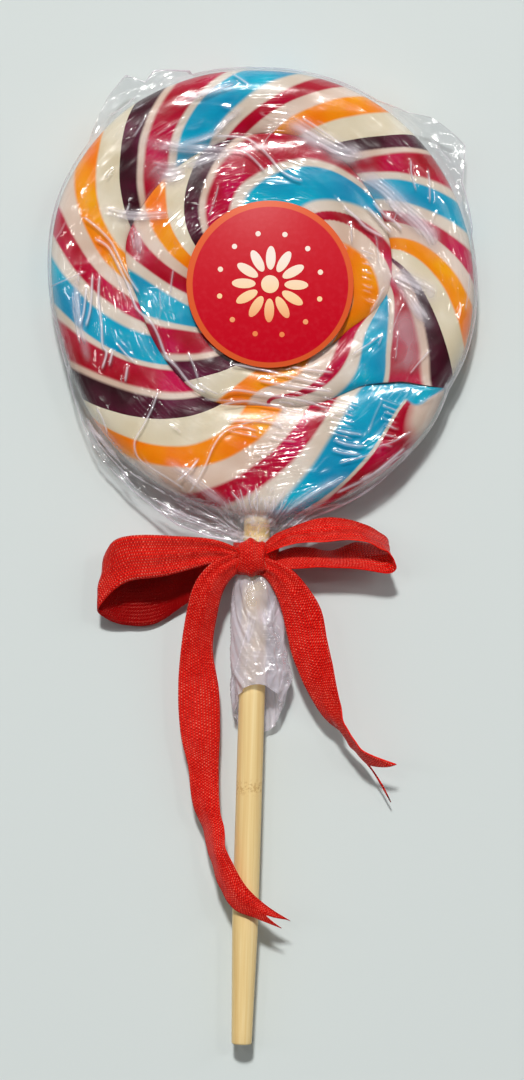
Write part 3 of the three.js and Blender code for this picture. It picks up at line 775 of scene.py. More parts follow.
def creases_along_bands(seed):
    """Fine folds that lie side by side in each of the denser painted glare bands."""
    scatter = np.random.default_rng(seed)
    creases = []
    for share, half_width, points in GLARE_BANDS:
        if share < GATHERED_SHARE:
            continue
        line = smooth_line(points, 6)
        run = (line[-1] - line[0]) / np.hypot(*(line[-1] - line[0]))
        for offset in np.arange(-0.8 * half_width, half_width, FOLD_STEP):
            first, last = scatter.integers(0, 3), scatter.integers(5, 8)
            sideways = (offset + scatter.normal(0, 0.2)) * np.array((-run[1], run[0]))
            creases.append((scatter.uniform(0.2, 0.45), FINE_FOLD, line[first:last] + sideways))
    return creases


SHORT_CREASES = scattered_creases(80, seed=7) + creases_from_neck(34, seed=3) + creases_along_bands(seed=5)
for first, step, run, count in (  # where a row starts, the step to its next fold, how each fold runs
    ((5.5, -23.5), (-.5, -1.35), (7.5, -1.0), 9), ((15, -24.6), (.2, -1.4), (8, -1.8), 8),
    ((28, -24.5), (.3, -1.5), (5, -1.6), 5), ((-1.5, -37), (-.9, -1.5), (6, .8), 6),
    ((22.4, 10.5), (.1, -1.6), (3.6, -1.1), 8),
):
    SHORT_CREASES += creases_side_by_side(first, step, run, count, seed=count)
print("creases:", len(LONG_CREASES), "long,", len(SHORT_CREASES), "short")


# %% Crumpling and white bands
def ridges(u, v, layers, seed):
    """Crumpled sheet: smooth facets that meet in crisp ridges, from 0 to 1."""
    return 1 - np.minimum(1, np.abs(lattice_noise(u, v, layers, seed)))


def pulled_ridges(x, y, angle, size, seed):
    """Ridges three times as long as wide that run round the disc. Four directions are blended."""
    total = np.zeros(len(x))
    for number in range(4):
        direction = np.radians(45 * number)
        weight = np.maximum(0, np.cos(2 * (np.radians(angle) + direction)))
        along = x * np.cos(direction) + y * np.sin(direction)
        off = y * np.cos(direction) - x * np.sin(direction)
        total += weight * ridges(along / 3, off, [(size, 1.0)], seed + number)
    return total


def crumpling(x, y, angle, on_candy):
    """How far the sheet's own crumpling lifts it, over the candy and in the loose parts."""
    billows = 0.6 * ridges(x, y, [(10.0, 1.0)], 1)
    pulled = 0.42 * pulled_ridges(x, y, angle, 4.5, 21) + 0.16 * pulled_ridges(x, y, angle, 2.0, 31)
    return billows + pulled + 0.28 * (1 - on_candy) * ridges(x, y, [(3.1, 1.0), (1.6, 0.5)], 4)


def gathered_folds(x, y, angle, past_rim):
    """Folds that fan out from the neck, and folds that run along the lower side's skirt."""
    dx, dy = x - PULL_TO[0], y - PULL_TO[1]
    near_neck = 1 - smooth_step(9, 32, np.hypot(dx, dy))
    fan = np.degrees(np.arctan2(dx, dy))
    fanned = near_neck * ridges(fan / 3.2, np.hypot(dx, dy) / 14, [(1.0, 1.0), (0.45, 0.5)], 5)
    lower_side = smooth_step(5, -20, y) * smooth_step(-4, 0, past_rim)
    along_skirt = lower_side * ridges(past_rim / 1.4, angle / 16, [(1.0, 1.0), (0.5, 0.5)], 6)
    return np.maximum(fanned, along_skirt)


def painted_glare(x, y, angle):
    """Painted glare: how white the film is painted in the bands over the valleys, in streaks."""
    haze_and_glare = np.zeros(len(x))
    for share, half_width, points in GLARE_BANDS:
        close, distance, to_end = near_line(x, y, points, 2.5 * half_width)
        white = share * np.exp(-(distance / half_width) ** 2) * smooth_step(-2, 4, to_end)
        haze_and_glare[close] = np.maximum(haze_and_glare[close], white)
    streaks = pulled_ridges(x, y, angle, 2.2, 41)
    return haze_and_glare * (0.5 + 0.55 * smooth_step(0.4, 1, streaks))


# %% Height of a sheet
label_low, label_high = (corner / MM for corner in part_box("label"))
SEAL_MIDDLE = (label_low + label_high) / 2
SEAL_RADIUS = (label_high.x - label_low.x) / 2
SEAL_PRESSES = 0.3  # mm round the seal in which it still keeps the film down
UNDER_SEAL_GAP = 0.05


def film_height(x, y, side):
    """Height of the front (side 1) or back (side -1) sheet, in millimetres over the table, and how
    white it is painted: whitened folds and painted glare."""
    angle = np.degrees(np.arctan2(x, y)) % 360
    radius = np.hypot(x, y)
    leaves, steepness = (np.interp(angle, SKIRT_ANGLES, values) for values in SKIRTS[side])
    meet = rim_radius(angle) + TIGHT_GAP
    skirt = LIP_HALF + np.maximum(meet - radius, 0) * steepness
    height = np.where(radius > leaves, skirt, tight_height(angle, radius, side))
    half_width, half_height = (np.interp(y, *np.array(NECK[::-1])[:, (0, k)].T) for k in (1, 2))
    neck = half_height * np.sqrt(np.maximum(0, 1 - (x / half_width) ** 2)) + side * (STICK_Z - MID_Z)
    height = np.where(y < NECK_TOP, np.maximum(height, neck), height)
    past_rim = radius - rim_radius(angle)
    flap = smooth_step(0.5, 4, past_rim)
    on_candy = 1 - smooth_step(-2, 2, past_rim)
    folds = gathered_folds(x, y, angle, past_rim)
    crumple = (crumpling(x, y, angle, on_candy) + 0.45 * folds) * (1 - 0.7 * flap)
    flutter = 0.9 * flap * lattice_noise(x, y, [(5.0, 1.0), (2.3, 0.5)], 11)
    if side < 0:
        return MID_Z - height - 0.3 * crumple + flutter, np.zeros(len(x))
    lift, haze_and_glare = creased(x, y, LONG_CREASES + SHORT_CREASES)
    haze_and_glare = np.maximum(haze_and_glare, 0.8 * smooth_step(0.72, 1, folds))
    haze_and_glare = np.maximum(haze_and_glare, painted_glare(x, y, angle))
    top = MID_Z + height + crumple + lift + flutter
    under_seal = np.hypot(x - SEAL_MIDDLE.x, y - SEAL_MIDDLE.y) < SEAL_RADIUS + SEAL_PRESSES
    return np.where(under_seal, np.minimum(top, label_low.z - UNDER_SEAL_GAP), top), haze_and_glare


# %% Shape the two sheets
CREASE_REACH = 0.5  # cells within this many mm of a fold are cut finer


def sheet_of_film(name, cells, side):
    """A grid pulled out to the bag's outline, cut finer at the folds in front, and raised."""
    def place(along, across):
        a, b = 2 * along - 1, 2 * across - 1
        x, y = a * np.sqrt(1 - b * b / 2), b * np.sqrt(1 - a * a / 2)
        angle = np.degrees(np.arctan2(x, y)) % 360
        edge = bag_edge(angle)
        return x * edge, y * edge, np.zeros(len(x))

    sheet = grid_patch(name, cells, cells, place, lambda along, across: (along, across))
    if side > 0:
        bpy.ops.object.mode_set(mode="EDIT")
        bpy.ops.mesh.select_all(action="DESELECT")
        bpy.ops.object.mode_set(mode="OBJECT")
        middles = np.array([face.center for face in sheet.data.polygons]) / MM
        near_fold = np.zeros(len(middles), bool)
        for _, _, points in LONG_CREASES + SHORT_CREASES:
            close, distance, _ = near_line(middles[:, 0], middles[:, 1], points, CREASE_REACH)
            near_fold[close[distance < CREASE_REACH]] = True
        sheet.data.polygons.foreach_set("select", near_fold)
        bpy.context.tool_settings.mesh_select_mode = (False, False, True)
        bpy.ops.object.mode_set(mode="EDIT")
        bpy.ops.mesh.subdivide(number_cuts=1)
        bpy.ops.object.mode_set(mode="OBJECT")
    corners = read_corners(sheet.data) / MM
    corners[:, 2], haze_and_glare = film_height(corners[:, 0], corners[:, 1], side)
    sheet.data.vertices.foreach_set("co", (corners * MM).ravel())
    keep_number(sheet.data, "haze_and_glare", haze_and_glare)
    return sheet


film_bag = joined("film_bag", sheet_of_film("front sheet", 230, 1), sheet_of_film("back sheet", 80, -1))
bpy.ops.object.mode_set(mode="EDIT")
bpy.context.tool_settings.mesh_select_mode = (False, True, False)
bpy.ops.mesh.select_all(action="DESELECT")
bpy.ops.mesh.select_non_manifold(
    extend=False, use_wire=False, use_multi_face=False, use_non_contiguous=False, use_verts=False,
)
bpy.ops.mesh.bridge_edge_loops()
bpy.ops.mesh.select_all(action="SELECT")
bpy.ops.mesh.normals_make_consistent(inside=False)
bpy.ops.object.mode_set(mode="OBJECT")
bpy.ops.object.shade_smooth()
print("film bag:", len(film_bag.data.polygons), "faces")

# %% [markdown]
# Below the ribbon the bag opens again into a short crumpled tube round the stick, with its mouth
# cut on a slant. It is a grid rolled into a tube, dented by the same noise, with a thin wall. It was
# crushed by the hand that tied it, so all of it is a little white, and its ridges more.

# %% The tail of the bag
TAIL = [  # y, middle x, half width, half height, mouth slant share
    (-59, 0, 4.6, 4.6, 0), (-67.2, 0, 4.6, 4.6, 0), (-70, .3, 5.4, 4.8, 0), (-78, .8, 6.1, 4.9, .1),
    (-87, 1.4, 6.7, 5.1, .4), (-96, 1.9, 7.3, 5.2, .7), (-104.7, 1.4, 5.6, 5, 1),
]
MOUTH_SLANT = 12
TAIL_WALL = 0.06
TAIL_CRUMPLE = 0.75  # how strongly it is dented
TAIL_WHITE = 0.46  # the share of light that crushed film scatters


def tail_place(along, across):
    """A point of the tube: along runs down the stick and across runs round it."""
    y = TAIL[0][0] + along * (TAIL[-1][0] - TAIL[0][0])
    rows = np.array(TAIL[::-1], float)
    middle, half_width, half_height, slant = (np.interp(y, rows[:, 0], rows[:, k]) for k in (1, 2, 3, 4))
    turn = 2 * math.pi * across
    loose = smooth_step(-66, -74, y)
    u, v = 9 * np.cos(turn) + 3 * y / 10, 9 * np.sin(turn) + y / 3
    dent = np.abs(lattice_noise(u, v, [(4.2, 1.0), (2.1, 0.55), (1.0, 0.2)], 8))
    grow = 1 - loose * TAIL_CRUMPLE * 2 * (dent - 0.3) / half_width
    x = middle + half_width * grow * np.cos(turn)
    z = STICK_Z + half_height * grow * np.sin(turn)
    return x, y + MOUTH_SLANT * slant * (1 + np.sin(turn)) * 0.5, z


tail_grid = grid_patch("tail", 150, 140, tail_place, lambda along, across: (along, 0 * across + 0.5))
tail_x, tail_y, _ = read_corners(tail_grid.data).T / MM
crushed = lattice_noise(tail_x, tail_y / 1.6, [(3.0, 1.0), (1.4, 0.5)], 10)
folds = ridges(tail_x - 0.2 * tail_y, tail_y / 6, [(1.9, 1.0), (0.9, 0.4)], 9)
crests = smooth_step(0.86, 1, folds) * smooth_step(-0.2, 0.4, crushed)
keep_number(tail_grid.data, "haze_and_glare", TAIL_WHITE + 0.16 * crushed + 0.4 * crests)
film_tail = joined("film_tail", tail_grid)
finish_with(film_tail, "SOLIDIFY", thickness=TAIL_WALL * MM, offset=0)
print("film tail:", len(film_tail.data.polygons), "faces")

# %% [markdown]
# ## Clear film
# Thin polypropylene lets nearly all light through and mirrors a little of it, more at a slant, so
# the shader mixes see-through and mirror by how far the surface faces away. A film mirrors on both
# of its faces, so its least share is 8%, twice that of one face. Where it was folded it has
# whitened, and over the valleys a white haze is painted where its glare shows: there it scatters
# light as a haze, in front and behind. Fine wrinkles run round the disc in patches. They are under
# half a millimetre wide, which no mesh of this size could hold, so a bump draws them, and their
# crests are painted a touch white, as painted glints.

# %% Polypropylene film, cast and crinkled
WRINKLE = 0.7 * MM  # from one fine wrinkle to the next
clear_film, add = start_material("polypropylene film, cast and crinkled")
here = add("TexCoord").outputs["Object"]
here_x, here_y, _ = add("SeparateXYZ", here).outputs

# Fine wrinkles: noise that counts rows outwards and is stretched round the disc, kept to patches.
level = add("VectorMath", here, (1, 1, 0), operation="MULTIPLY")
out_from_middle = add("VectorMath", level, operation="LENGTH")
round_middle = add("Math", here_x, here_y, operation="ARCTAN2")
wrinkle_row = add("Math", out_from_middle, 0.5 / WRINKLE, operation="MULTIPLY")
wrinkle_run = add("Math", round_middle, 3.6, operation="MULTIPLY")
wrinkle = add("TexNoise", {
    "Vector": add("CombineXYZ", wrinkle_row, wrinkle_run),
    "Scale": 1.0, "Detail": 1.0, "Roughness": 0.4, "Distortion": 0.15,
})
centred = add("Math", wrinkle, 0.5, operation="SUBTRACT")
off_crest = add("Math", centred, operation="ABSOLUTE")
ridge = add("MapRange", off_crest, 0.0, 0.12, 1.0, 0.0)
patches = add("TexNoise", {"Vector": here, "Scale": 75.0, "Detail": 1.0})
in_patch = add("MapRange", patches, 0.5, 0.6, 0.05, 0.9)
ridge_here = add("Math", ridge, in_patch, operation="MULTIPLY")
crinkled = add("Bump", {"Height": ridge_here, "Strength": 1.0, "Distance": 0.00013})

# How milky it is: at the sealed edge, at a slant, where it has whitened or glare is painted, and on the
# wrinkles' crests, as painted glints.
off_half = [
    add("Math", add("Math", axis, 0.5, operation="SUBTRACT"), operation="ABSOLUTE")
    for axis in add("SeparateXYZ", add("UVMap", uv_map="UVMap")).outputs[:2]
]
outermost = add("Math", *off_half, operation="MAXIMUM")
at_border = add("MapRange", outermost, 0.494, 0.5, 0.0, 0.7)
slant = add("LayerWeight", {"Blend": 0.3}).outputs["Facing"]
milky = add("Math", slant, 0.04, at_border, operation="MULTIPLY_ADD")
# Painted glare and whitened folds: the share of white haze that each sheet carries.
haze_and_glare_read = add("Attribute", attribute_name="haze_and_glare").outputs["Fac"]
milkier = add("Math", haze_and_glare_read, 0.82, milky, operation="MULTIPLY_ADD")
# Painted glints: the fine wrinkles' crests are painted a touch white.
crest_glint = add("MapRange", ridge_here, 0.75, 0.98, 0.0, 0.14)
milkiest = add("Math", milkier, crest_glint, operation="ADD", use_clamp=True)

# Clear or hazy under a mirror that is mostly sharp.
see_through = add("BsdfTransparent", {"Color": "#fcfcfd"})
lit_haze = add("BsdfDiffuse", {"Color": "#f5f1fc"})
backlit_haze = add("BsdfTranslucent", {"Color": "#f5f1fc"})
haze = add("MixShader", 0.35, lit_haze, backlit_haze)
hazy = add("MixShader", milkiest, see_through, haze)
sharp_mirror, soft_mirror = (
    add("BsdfGlossy", {"Color": "#ffffff", "Roughness": roughness, "Normal": crinkled})
    for roughness in (0.05, 0.24)
)
mirror = add("MixShader", 0.3, sharp_mirror, soft_mirror)
facing_away = add("LayerWeight", {"Blend": 0.5}).outputs["Facing"]
steep = add("Math", facing_away, 4.5, operation="POWER")
mirrored = add("MapRange", steep, 0.0, 1.0, 0.08, 0.75)
paint([film_bag, film_tail], clear_film, add("MixShader", mirrored, hazy, mirror))
for piece in (film_bag, film_tail):
    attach(piece, "root")
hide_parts("film")

# %% [markdown]
# ## The round seal
# A paper seal closes the bag over the middle of the disc: a red field with an orange border, on
# which a plain rosette is printed in cream. It is a disc whose rims are bevelled.

# %% Seal and rosette
SEAL_THICKNESS = 0.22
SEAL_TOP = label_low.z + SEAL_THICKNESS

seal_centre = (SEAL_MIDDLE.x, SEAL_MIDDLE.y, label_low.z + SEAL_THICKNESS / 2)
seal = cylinder("seal", seal_centre, SEAL_RADIUS, SEAL_THICKNESS, 160)
finish_with(seal, "BEVEL", width=0.06 * MM, segments=2, limit_method="ANGLE")
bpy.ops.object.shade_smooth_by_angle(angle=math.radians(40))

PETALS = 12
PETAL_LENGTH, PETAL_HALF_WIDTH, PETAL_FROM = 5.6, 1.15, 3.4
DOT_RADIUS, DOTS_OUT = 0.62, 12.2
INK = 0.04


def printed_oval(name, out, half_length, half_width, turn):
    """A thin oval of ink on the seal, lying out from its middle."""
    x, y = SEAL_MIDDLE.x + out * math.cos(turn), SEAL_MIDDLE.y + out * math.sin(turn)
    stretch = (half_length, half_width, 1)
    return cylinder(name, (x, y, SEAL_TOP + INK / 2), 1, INK, 32, (0, 0, turn), stretch)


spots = [printed_oval("rosette middle", 0, 2.1, 2.1, 0)]
for number in range(PETALS):
    turn = 2 * math.pi * number / PETALS
    petal_out = PETAL_FROM + PETAL_LENGTH / 2
    spots.append(printed_oval("petal", petal_out, PETAL_LENGTH / 2, PETAL_HALF_WIDTH, turn))
    turn += math.pi / PETALS
    spots.append(printed_oval("dot", DOTS_OUT, DOT_RADIUS, DOT_RADIUS, turn))
rosette = joined("seal_rosette", *spots)
bpy.ops.object.shade_flat()

# %% [markdown]
# The paper is coated, so its red is deep and only half matt, with a few scuffs where the coating
# has worn. A ramp in the distance from the middle draws the orange border. The rosette's screen ink
# fades from orange at its foot to cream at its top.

# %% Coated paper, printed
BORDER_FROM, BORDER_BLUR = SEAL_RADIUS - 1.35, 0.06
FIELD_MIDDLE = (SEAL_MIDDLE.x + .1, SEAL_MIDDLE.y - .12)  # the border is printed a little off centre
printed_paper, add = start_material("coated paper, printed")
here = add("TexCoord").outputs["Object"]
centre = add("Mapping", {"Vector": here, "Location": (-FIELD_MIDDLE[0] * MM, -FIELD_MIDDLE[1] * MM, 0)})
level = add("VectorMath", centre, (1, 1, 0), operation="MULTIPLY")
from_middle = add("VectorMath", level, operation="LENGTH")
in_border = add("MapRange", from_middle, (BORDER_FROM - BORDER_BLUR) * MM, (BORDER_FROM + BORDER_BLUR) * MM)
grain = add("TexNoise", {"Vector": here, "Scale": 900.0, "Detail": 5.0})
scuff = add("MapRange", grain, 0.45, 0.75, 0.0, 0.12)
field = add("Mix", {0: scuff, 6: "#c4021e", 7: "#d84a58"}, data_type="RGBA")
ink = add("Mix", {0: in_border, 6: field, 7: "#d9592b"}, data_type="RGBA")
paper_bump = add("Bump", {"Height": grain, "Strength": 0.15, "Distance": 0.0001})
paper = add("BsdfPrincipled", {
    "Base Color": ink, "Roughness": 0.4, "Specular IOR Level": 0.15, "Normal": paper_bump,
})
paint([seal], printed_paper, paper)

cream_ink, add = start_material("screen ink, cream to orange")
_, here_y, _ = add("SeparateXYZ", add("TexCoord").outputs["Object"]).outputs
fade = add("MapRange", here_y, -9 * MM, 8 * MM)
fade_colour = add("ValToRGB", fade, stops=[(0.0, "#e87b3a"), (0.45, "#f6cf9a"), (1.0, "#f6e6dc")])
paint([rosette], cream_ink, add("BsdfPrincipled", {"Base Color": fade_colour, "Roughness": 0.4}))
for piece in (seal, rosette):
    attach(piece, "root")
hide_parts("label")
print("seal:", len(seal.data.polygons), "faces, rosette:", len(rosette.data.polygons), "faces")

# %% [markdown]
# ## The ribbon bow
# A woven ribbon is wound round the neck and tied. Each loop and tail is a strip between two edge
# lines that run from the knot, the same as in the CAD source. The strip is a grid laid between
# them, with shallow pleats near the knot where it is squeezed, and Solidify gives it its cloth
# thickness. Its UV map holds its length and width, so the weave stays true to scale. A number
# paints shade on the left loop's second half, where its inside shows and lies in shadow.

# %% Loops and tails
RIBBON_WIDTH = 10.0
RIBBON_THICKNESS = 0.32
BOW = {
    # name: (far edge, near edge, how much painted shade darkens its second half, where its inside shows,
    # share of its length that the notch cuts in, where across its width the notch is, mm that its edges
    # turn down)
    "ribbon_loop_left": ([
        (-3.2, -61.2, 13.4), (-10.5, -58.8, 14.4), (-21.3, -58.2, 14.9), (-30.5, -58.7, 14.4),
        (-34.6, -60.6, 12.4), (-36.3, -64.2, 8.8), (-35, -66.2, 5.4), (-30.4, -67.4, 3.4),
        (-22.5, -66.4, 2.6), (-13, -64.6, 3.6), (-3.6, -63.5, 5.5),
    ], [
        (-3.1, -64, 13), (-10.5, -64.6, 13), (-20.5, -67.6, 12.8), (-29.3, -69.2, 11.8),
        (-34, -72, 10.4), (-37, -76, 7.8), (-35.6, -78.3, 5), (-30.5, -79.9, 2.6),
        (-23.4, -79.2, 1.4), (-15.9, -74.1, 2.6), (-3.5, -65.9, 5.5),
    ], 1, 0),
    "ribbon_loop_right": ([
        (1.3, -60.3, 12.4), (5.5, -56.4, 11), (11.4, -54.3, 9.5), (19.6, -53, 8),
        (25.6, -54.2, 7), (29.6, -56.4, 6), (30.9, -58.6, 5), (28.6, -58.6, 4),
        (23.6, -58.2, 4), (17.7, -60.6, 4.4), (13, -60.2, 5.2), (8, -60.4, 6.4), (1.9, -62.4, 8),
    ], [
        (1.4, -62.2, 13.5), (7.5, -59.8, 14.2), (13.4, -58.6, 14.8), (20.5, -58.2, 15),
        (26, -58.8, 14.6), (30.3, -60.2, 13.6), (32.6, -62.5, 12), (33, -64.6, 10.6),
        (30.4, -65.5, 10.4), (22.3, -64.4, 11), (15.2, -64.4, 11.4), (8.1, -64.9, 12), (1.9, -65.2, 11),
    ], 0, 0),
    "ribbon_tail_left": ([
        (-4.4, -61.4, 13.5), (-10.4, -64.5, 13.6), (-14.1, -69.1, 12.8), (-15.8, -74.8, 11.5),
        (-17.2, -85.8, 9.5), (-17.5, -96, 8.3), (-16.6, -105.5, 7.6), (-14.7, -112.8, 7.2),
        (-13.4, -120.9, 6.8), (-11.2, -127.5, 6.8), (-9.1, -134, 8), (-6.5, -141.1, 10.2),
        (-2.8, -146.2, 11.4), (2.5, -148.1, 12), (8.6, -150.3, 12),
    ], [
        (-2.3, -64.9, 13.5), (-5.6, -67.9, 13.2), (-7.6, -71.3, 12.4), (-8.7, -76.1, 11.2),
        (-9.6, -85.1, 9.2), (-7.9, -94.6, 8.2), (-7.4, -104.1, 7.6), (-7.6, -112.6, 7.8),
        (-7.6, -120.7, 9.2), (-7.2, -126.9, 11.4), (-6.1, -132.1, 13), (-3.5, -136.7, 13.4),
        (.2, -141.5, 13.2), (4.3, -145, 12.8), (10.6, -148.8, 12.4),
    ], 0, .055, .5, (.3, 1.6)),
    "ribbon_tail_right": ([
        (.1, -66.3, 13), (3.1, -68.6, 12.6), (5.9, -73.7, 12.4), (7.6, -79.8, 12.2),
        (9.3, -86, 11.8), (12.1, -92.5, 10.6), (15.9, -99.2, 9), (20.2, -104.2, 7.2),
        (23.6, -107.9, 5.8), (26.6, -111.1, 5.1), (33.5, -120.7, 4.8),
    ], [
        (1.4, -62.4, 13.6), (7.6, -64.9, 13.4), (12, -69, 13), (15.7, -74.6, 12.6),
        (17.4, -81.7, 12.3), (18.9, -87.8, 12), (20.4, -94.9, 11.9), (21.7, -100.1, 12),
        (23.5, -104.6, 12.4), (26.5, -107.8, 12.4), (34.7, -110.8, 11.2),
    ], 0, .1, .3, (1.4, .3)),
}
STRIP_CELLS = (170, 12)
STRIP_STEPS = 400  # points along each edge line
PLEAT_HEIGHT, PLEAT_REACH = 0.45, 24  # mm, near the knot
WAVE_HEIGHT = 0.45  # mm, how far the cloth waves out of its strip


def ribbon_piece(name, cells, place, pattern, painted_inner_shade=None, offset=0):
    """A grid of ribbon, given the cloth's thickness on both sides, or inwards for an offset of -1."""
    piece = joined(name, grid_patch(name, *cells, place, pattern, painted_inner_shade))
    finish_with(piece, "SOLIDIFY", thickness=RIBBON_THICKNESS * MM, offset=offset)
    return piece


def ribbon_strip(name, far, near, inner_shade_amount, notch, notch_at=0.5, turned_down=(0.25, 0.25)):
    """A strip between two edge lines, and its length in millimetres."""
    far_edge, near_edge = smooth_line(far, STRIP_STEPS), smooth_line(near, STRIP_STEPS)
    middle_line = (far_edge + near_edge) / 2
    walked = np.concatenate(([0], np.cumsum(np.linalg.norm(np.diff(middle_line, axis=0), axis=1))))
    length = walked[-1]
    up = np.cross(np.gradient(middle_line, axis=0), near_edge - far_edge)
    up /= np.linalg.norm(up, axis=1)[:, None]
    wave_seed = len(far) + len(name)  # no two strips wave alike

    def at(line, t):
        steps = np.arange(STRIP_STEPS + 1)
        return np.stack([np.interp(t * STRIP_STEPS, steps, column) for column in line.T], axis=1)

    def cut(across):
        """How much of the length the notch leaves at a place across the strip."""
        from_notch = np.maximum((notch_at - across) / notch_at, (across - notch_at) / (1 - notch_at))
        return 1 - notch * (1 - from_notch)

    def place(along, across):
        t = along * cut(across)
        a = across[:, None]
        from_knot = t * length
        lift = PLEAT_HEIGHT * np.exp(-from_knot / PLEAT_REACH) * np.sin(5 * math.pi * across)
        waves = lattice_noise(from_knot, across * RIBBON_WIDTH, [(6.5, 1.0), (3.2, 0.4)], wave_seed)
        lift += WAVE_HEIGHT * waves * smooth_step(0, 8, from_knot)
        lift -= turned_down[0] * smooth_step(0.4, 0, across) + turned_down[1] * smooth_step(0.6, 1, across)
        point = at(far_edge, t) * (1 - a) + at(near_edge, t) * a
        return tuple((point + at(up, t) * lift[:, None]).T)

    def pattern(along, across):
        return at(walked[:, None], along * cut(across))[:, 0] * MM, across * RIBBON_WIDTH * MM

    # Painted shade: the second half of the strip, where a loop's inside shows in shadow, is painted darker.
    def painted_inner_shade(along, across):
        return inner_shade_amount * smooth_step(0.47, 0.53, along)

    print(f"{name}: {length:.0f} mm long")
    return ribbon_piece(name, STRIP_CELLS, place, pattern, painted_inner_shade), length


bow_strips = {name: ribbon_strip(name, *shape) for name, shape in BOW.items()}

# %% Knot and band
KNOT_MIDDLE, KNOT_HALF = (-1.0, -62.9, 12.7), (3.7, 4.2, 2.9)
KNOT_STARTS, KNOT_TURNS = -35, 250  # degrees round the bow that the front of the knot covers
KNOT_POWER = 2.6  # how full its sides are
KNOT_RIBBON = 15  # mm of ribbon that are seen on the knot
BAND_RADIUS = 5.3
BAND_FROM_Y, BAND_TO_Y = -59.4, -66.9


def knot_place(along, across):
    """A lump of ribbon, wound over from top to bottom, with folds across it and crushed."""
    turn = np.radians(KNOT_STARTS + KNOT_TURNS * along)
    out = 2 * across - 1
    full = (1 - np.abs(out) ** KNOT_POWER) ** (1 / KNOT_POWER)
    crushed = lattice_noise(15 * along, 8 * across, [(3.4, 1.0), (1.7, 0.6)], 12)
    fold = 1 + (0.07 * np.sin(4.6 * math.pi * across + 1.4 * along) + 0.09 * crushed) * full
    x = KNOT_MIDDLE[0] + KNOT_HALF[0] * out * (1 + 0.12 * np.cos(turn * 2))
    y = KNOT_MIDDLE[1] - KNOT_HALF[1] * np.cos(turn) * full * fold
    return x, y, KNOT_MIDDLE[2] + KNOT_HALF[2] * np.sin(turn) * full * fold


def band_place(along, across):
    """The turn of ribbon round the neck, with shallow pleats round it."""
    turn = 2 * math.pi * along
    radius = BAND_RADIUS + 0.12 * np.sin(5 * math.pi * across)
    y = BAND_FROM_Y + across * (BAND_TO_Y - BAND_FROM_Y)
    return radius * np.cos(turn), y, STICK_Z + radius * np.sin(turn)


def wound_pattern(length):
    return lambda along, across: (along * length * MM, across * RIBBON_WIDTH * MM)


ribbon_knot = ribbon_piece("ribbon_knot", (60, 36), knot_place, wound_pattern(KNOT_RIBBON), offset=-1)
band_length = 2 * math.pi * BAND_RADIUS
ribbon_band = ribbon_piece("ribbon_band", (96, 16), band_place, wound_pattern(band_length))
print("knot:", len(ribbon_knot.data.polygons), "faces, band:", len(ribbon_band.data.polygons), "faces")

# %% [markdown]
# ## Woven ribbon
# The ribbon is a polyester tape with a fine rib: threads lie side by side across it, and each
# shows as a row of small shiny dots that lean over like a herringbone. Both edges are a firmer
# selvedge. A wave along and a wave across make the dots, at 0.67 mm from thread to thread. A slow
# ripple bends the rows. Light and shade are painted into the dye: the height of the weave, a fine
# noise and the slow ripple pick its colour from a ramp, so it is painted darkest between the threads,
# with paler painted glints on single threads and broad painted sheen where the ripple is high. Light
# passes a little through the cloth, which reddens the shadow under it.

# %% Polyester ribbon, woven
THREAD = 0.67 * MM
SELVEDGE_EDGE = (4.4 * MM, 4.6 * MM)  # from the middle line, where the selvedge rises
woven, add = start_material("polyester ribbon, woven")
cloth_map = add("UVMap", uv_map="UVMap")
cloth_x, cloth_y, _ = add("SeparateXYZ", cloth_map).outputs

# Rows of dots that lean away from the middle line, and the firm edges.
fold_back = add("Math", cloth_y, 0.5 * RIBBON_WIDTH * MM, operation="SUBTRACT")
off_middle = add("Math", fold_back, operation="ABSOLUTE")
ripple = add("TexNoise", {"Vector": cloth_map, "Scale": 240.0, "Detail": 2.0})
rippled = add("Math", ripple, 1.6 * MM, cloth_x, operation="MULTIPLY_ADD")
leaning = add("Math", off_middle, 0.6, rippled, operation="MULTIPLY_ADD")
rib, thread = (
    add("Math", add("Math", run, 2 * math.pi / THREAD, operation="MULTIPLY"), operation="SINE")
    for run in (leaning, cloth_y)
)
dots = add("Math", rib, thread, operation="MULTIPLY")
weave = add("Math", rib, 0.6, dots, operation="MULTIPLY_ADD")
selvedge = add("MapRange", off_middle, *SELVEDGE_EDGE, 0.0, 0.2)
height = add("Math", weave, selvedge, operation="ADD")
weave_bump = add("Bump", {"Height": height, "Strength": 1.0, "Distance": 0.0001})

# Painted light in the dye: painted shade between the threads, painted glints on single bright threads and
# painted sheen from the slow ripple.
glint_noise = add("TexNoise", {"Vector": cloth_map, "Scale": 1300.0, "Detail": 2.0})
weave_and_glints = add("Math", glint_noise, 2.6, height, operation="MULTIPLY_ADD")
painted_sheen = add("Math", ripple, 1.5, weave_and_glints, operation="MULTIPLY_ADD")
painted_light_level = add("MapRange", painted_sheen, 0.3, 3.8)
dye_with_painted_light = add("ValToRGB", painted_light_level, stops=[
    (0.0, "#84000a"), (0.3, "#d80609"), (0.55, "#ff120c"), (0.78, "#ff3420"), (1.0, "#ffb49c"),
])
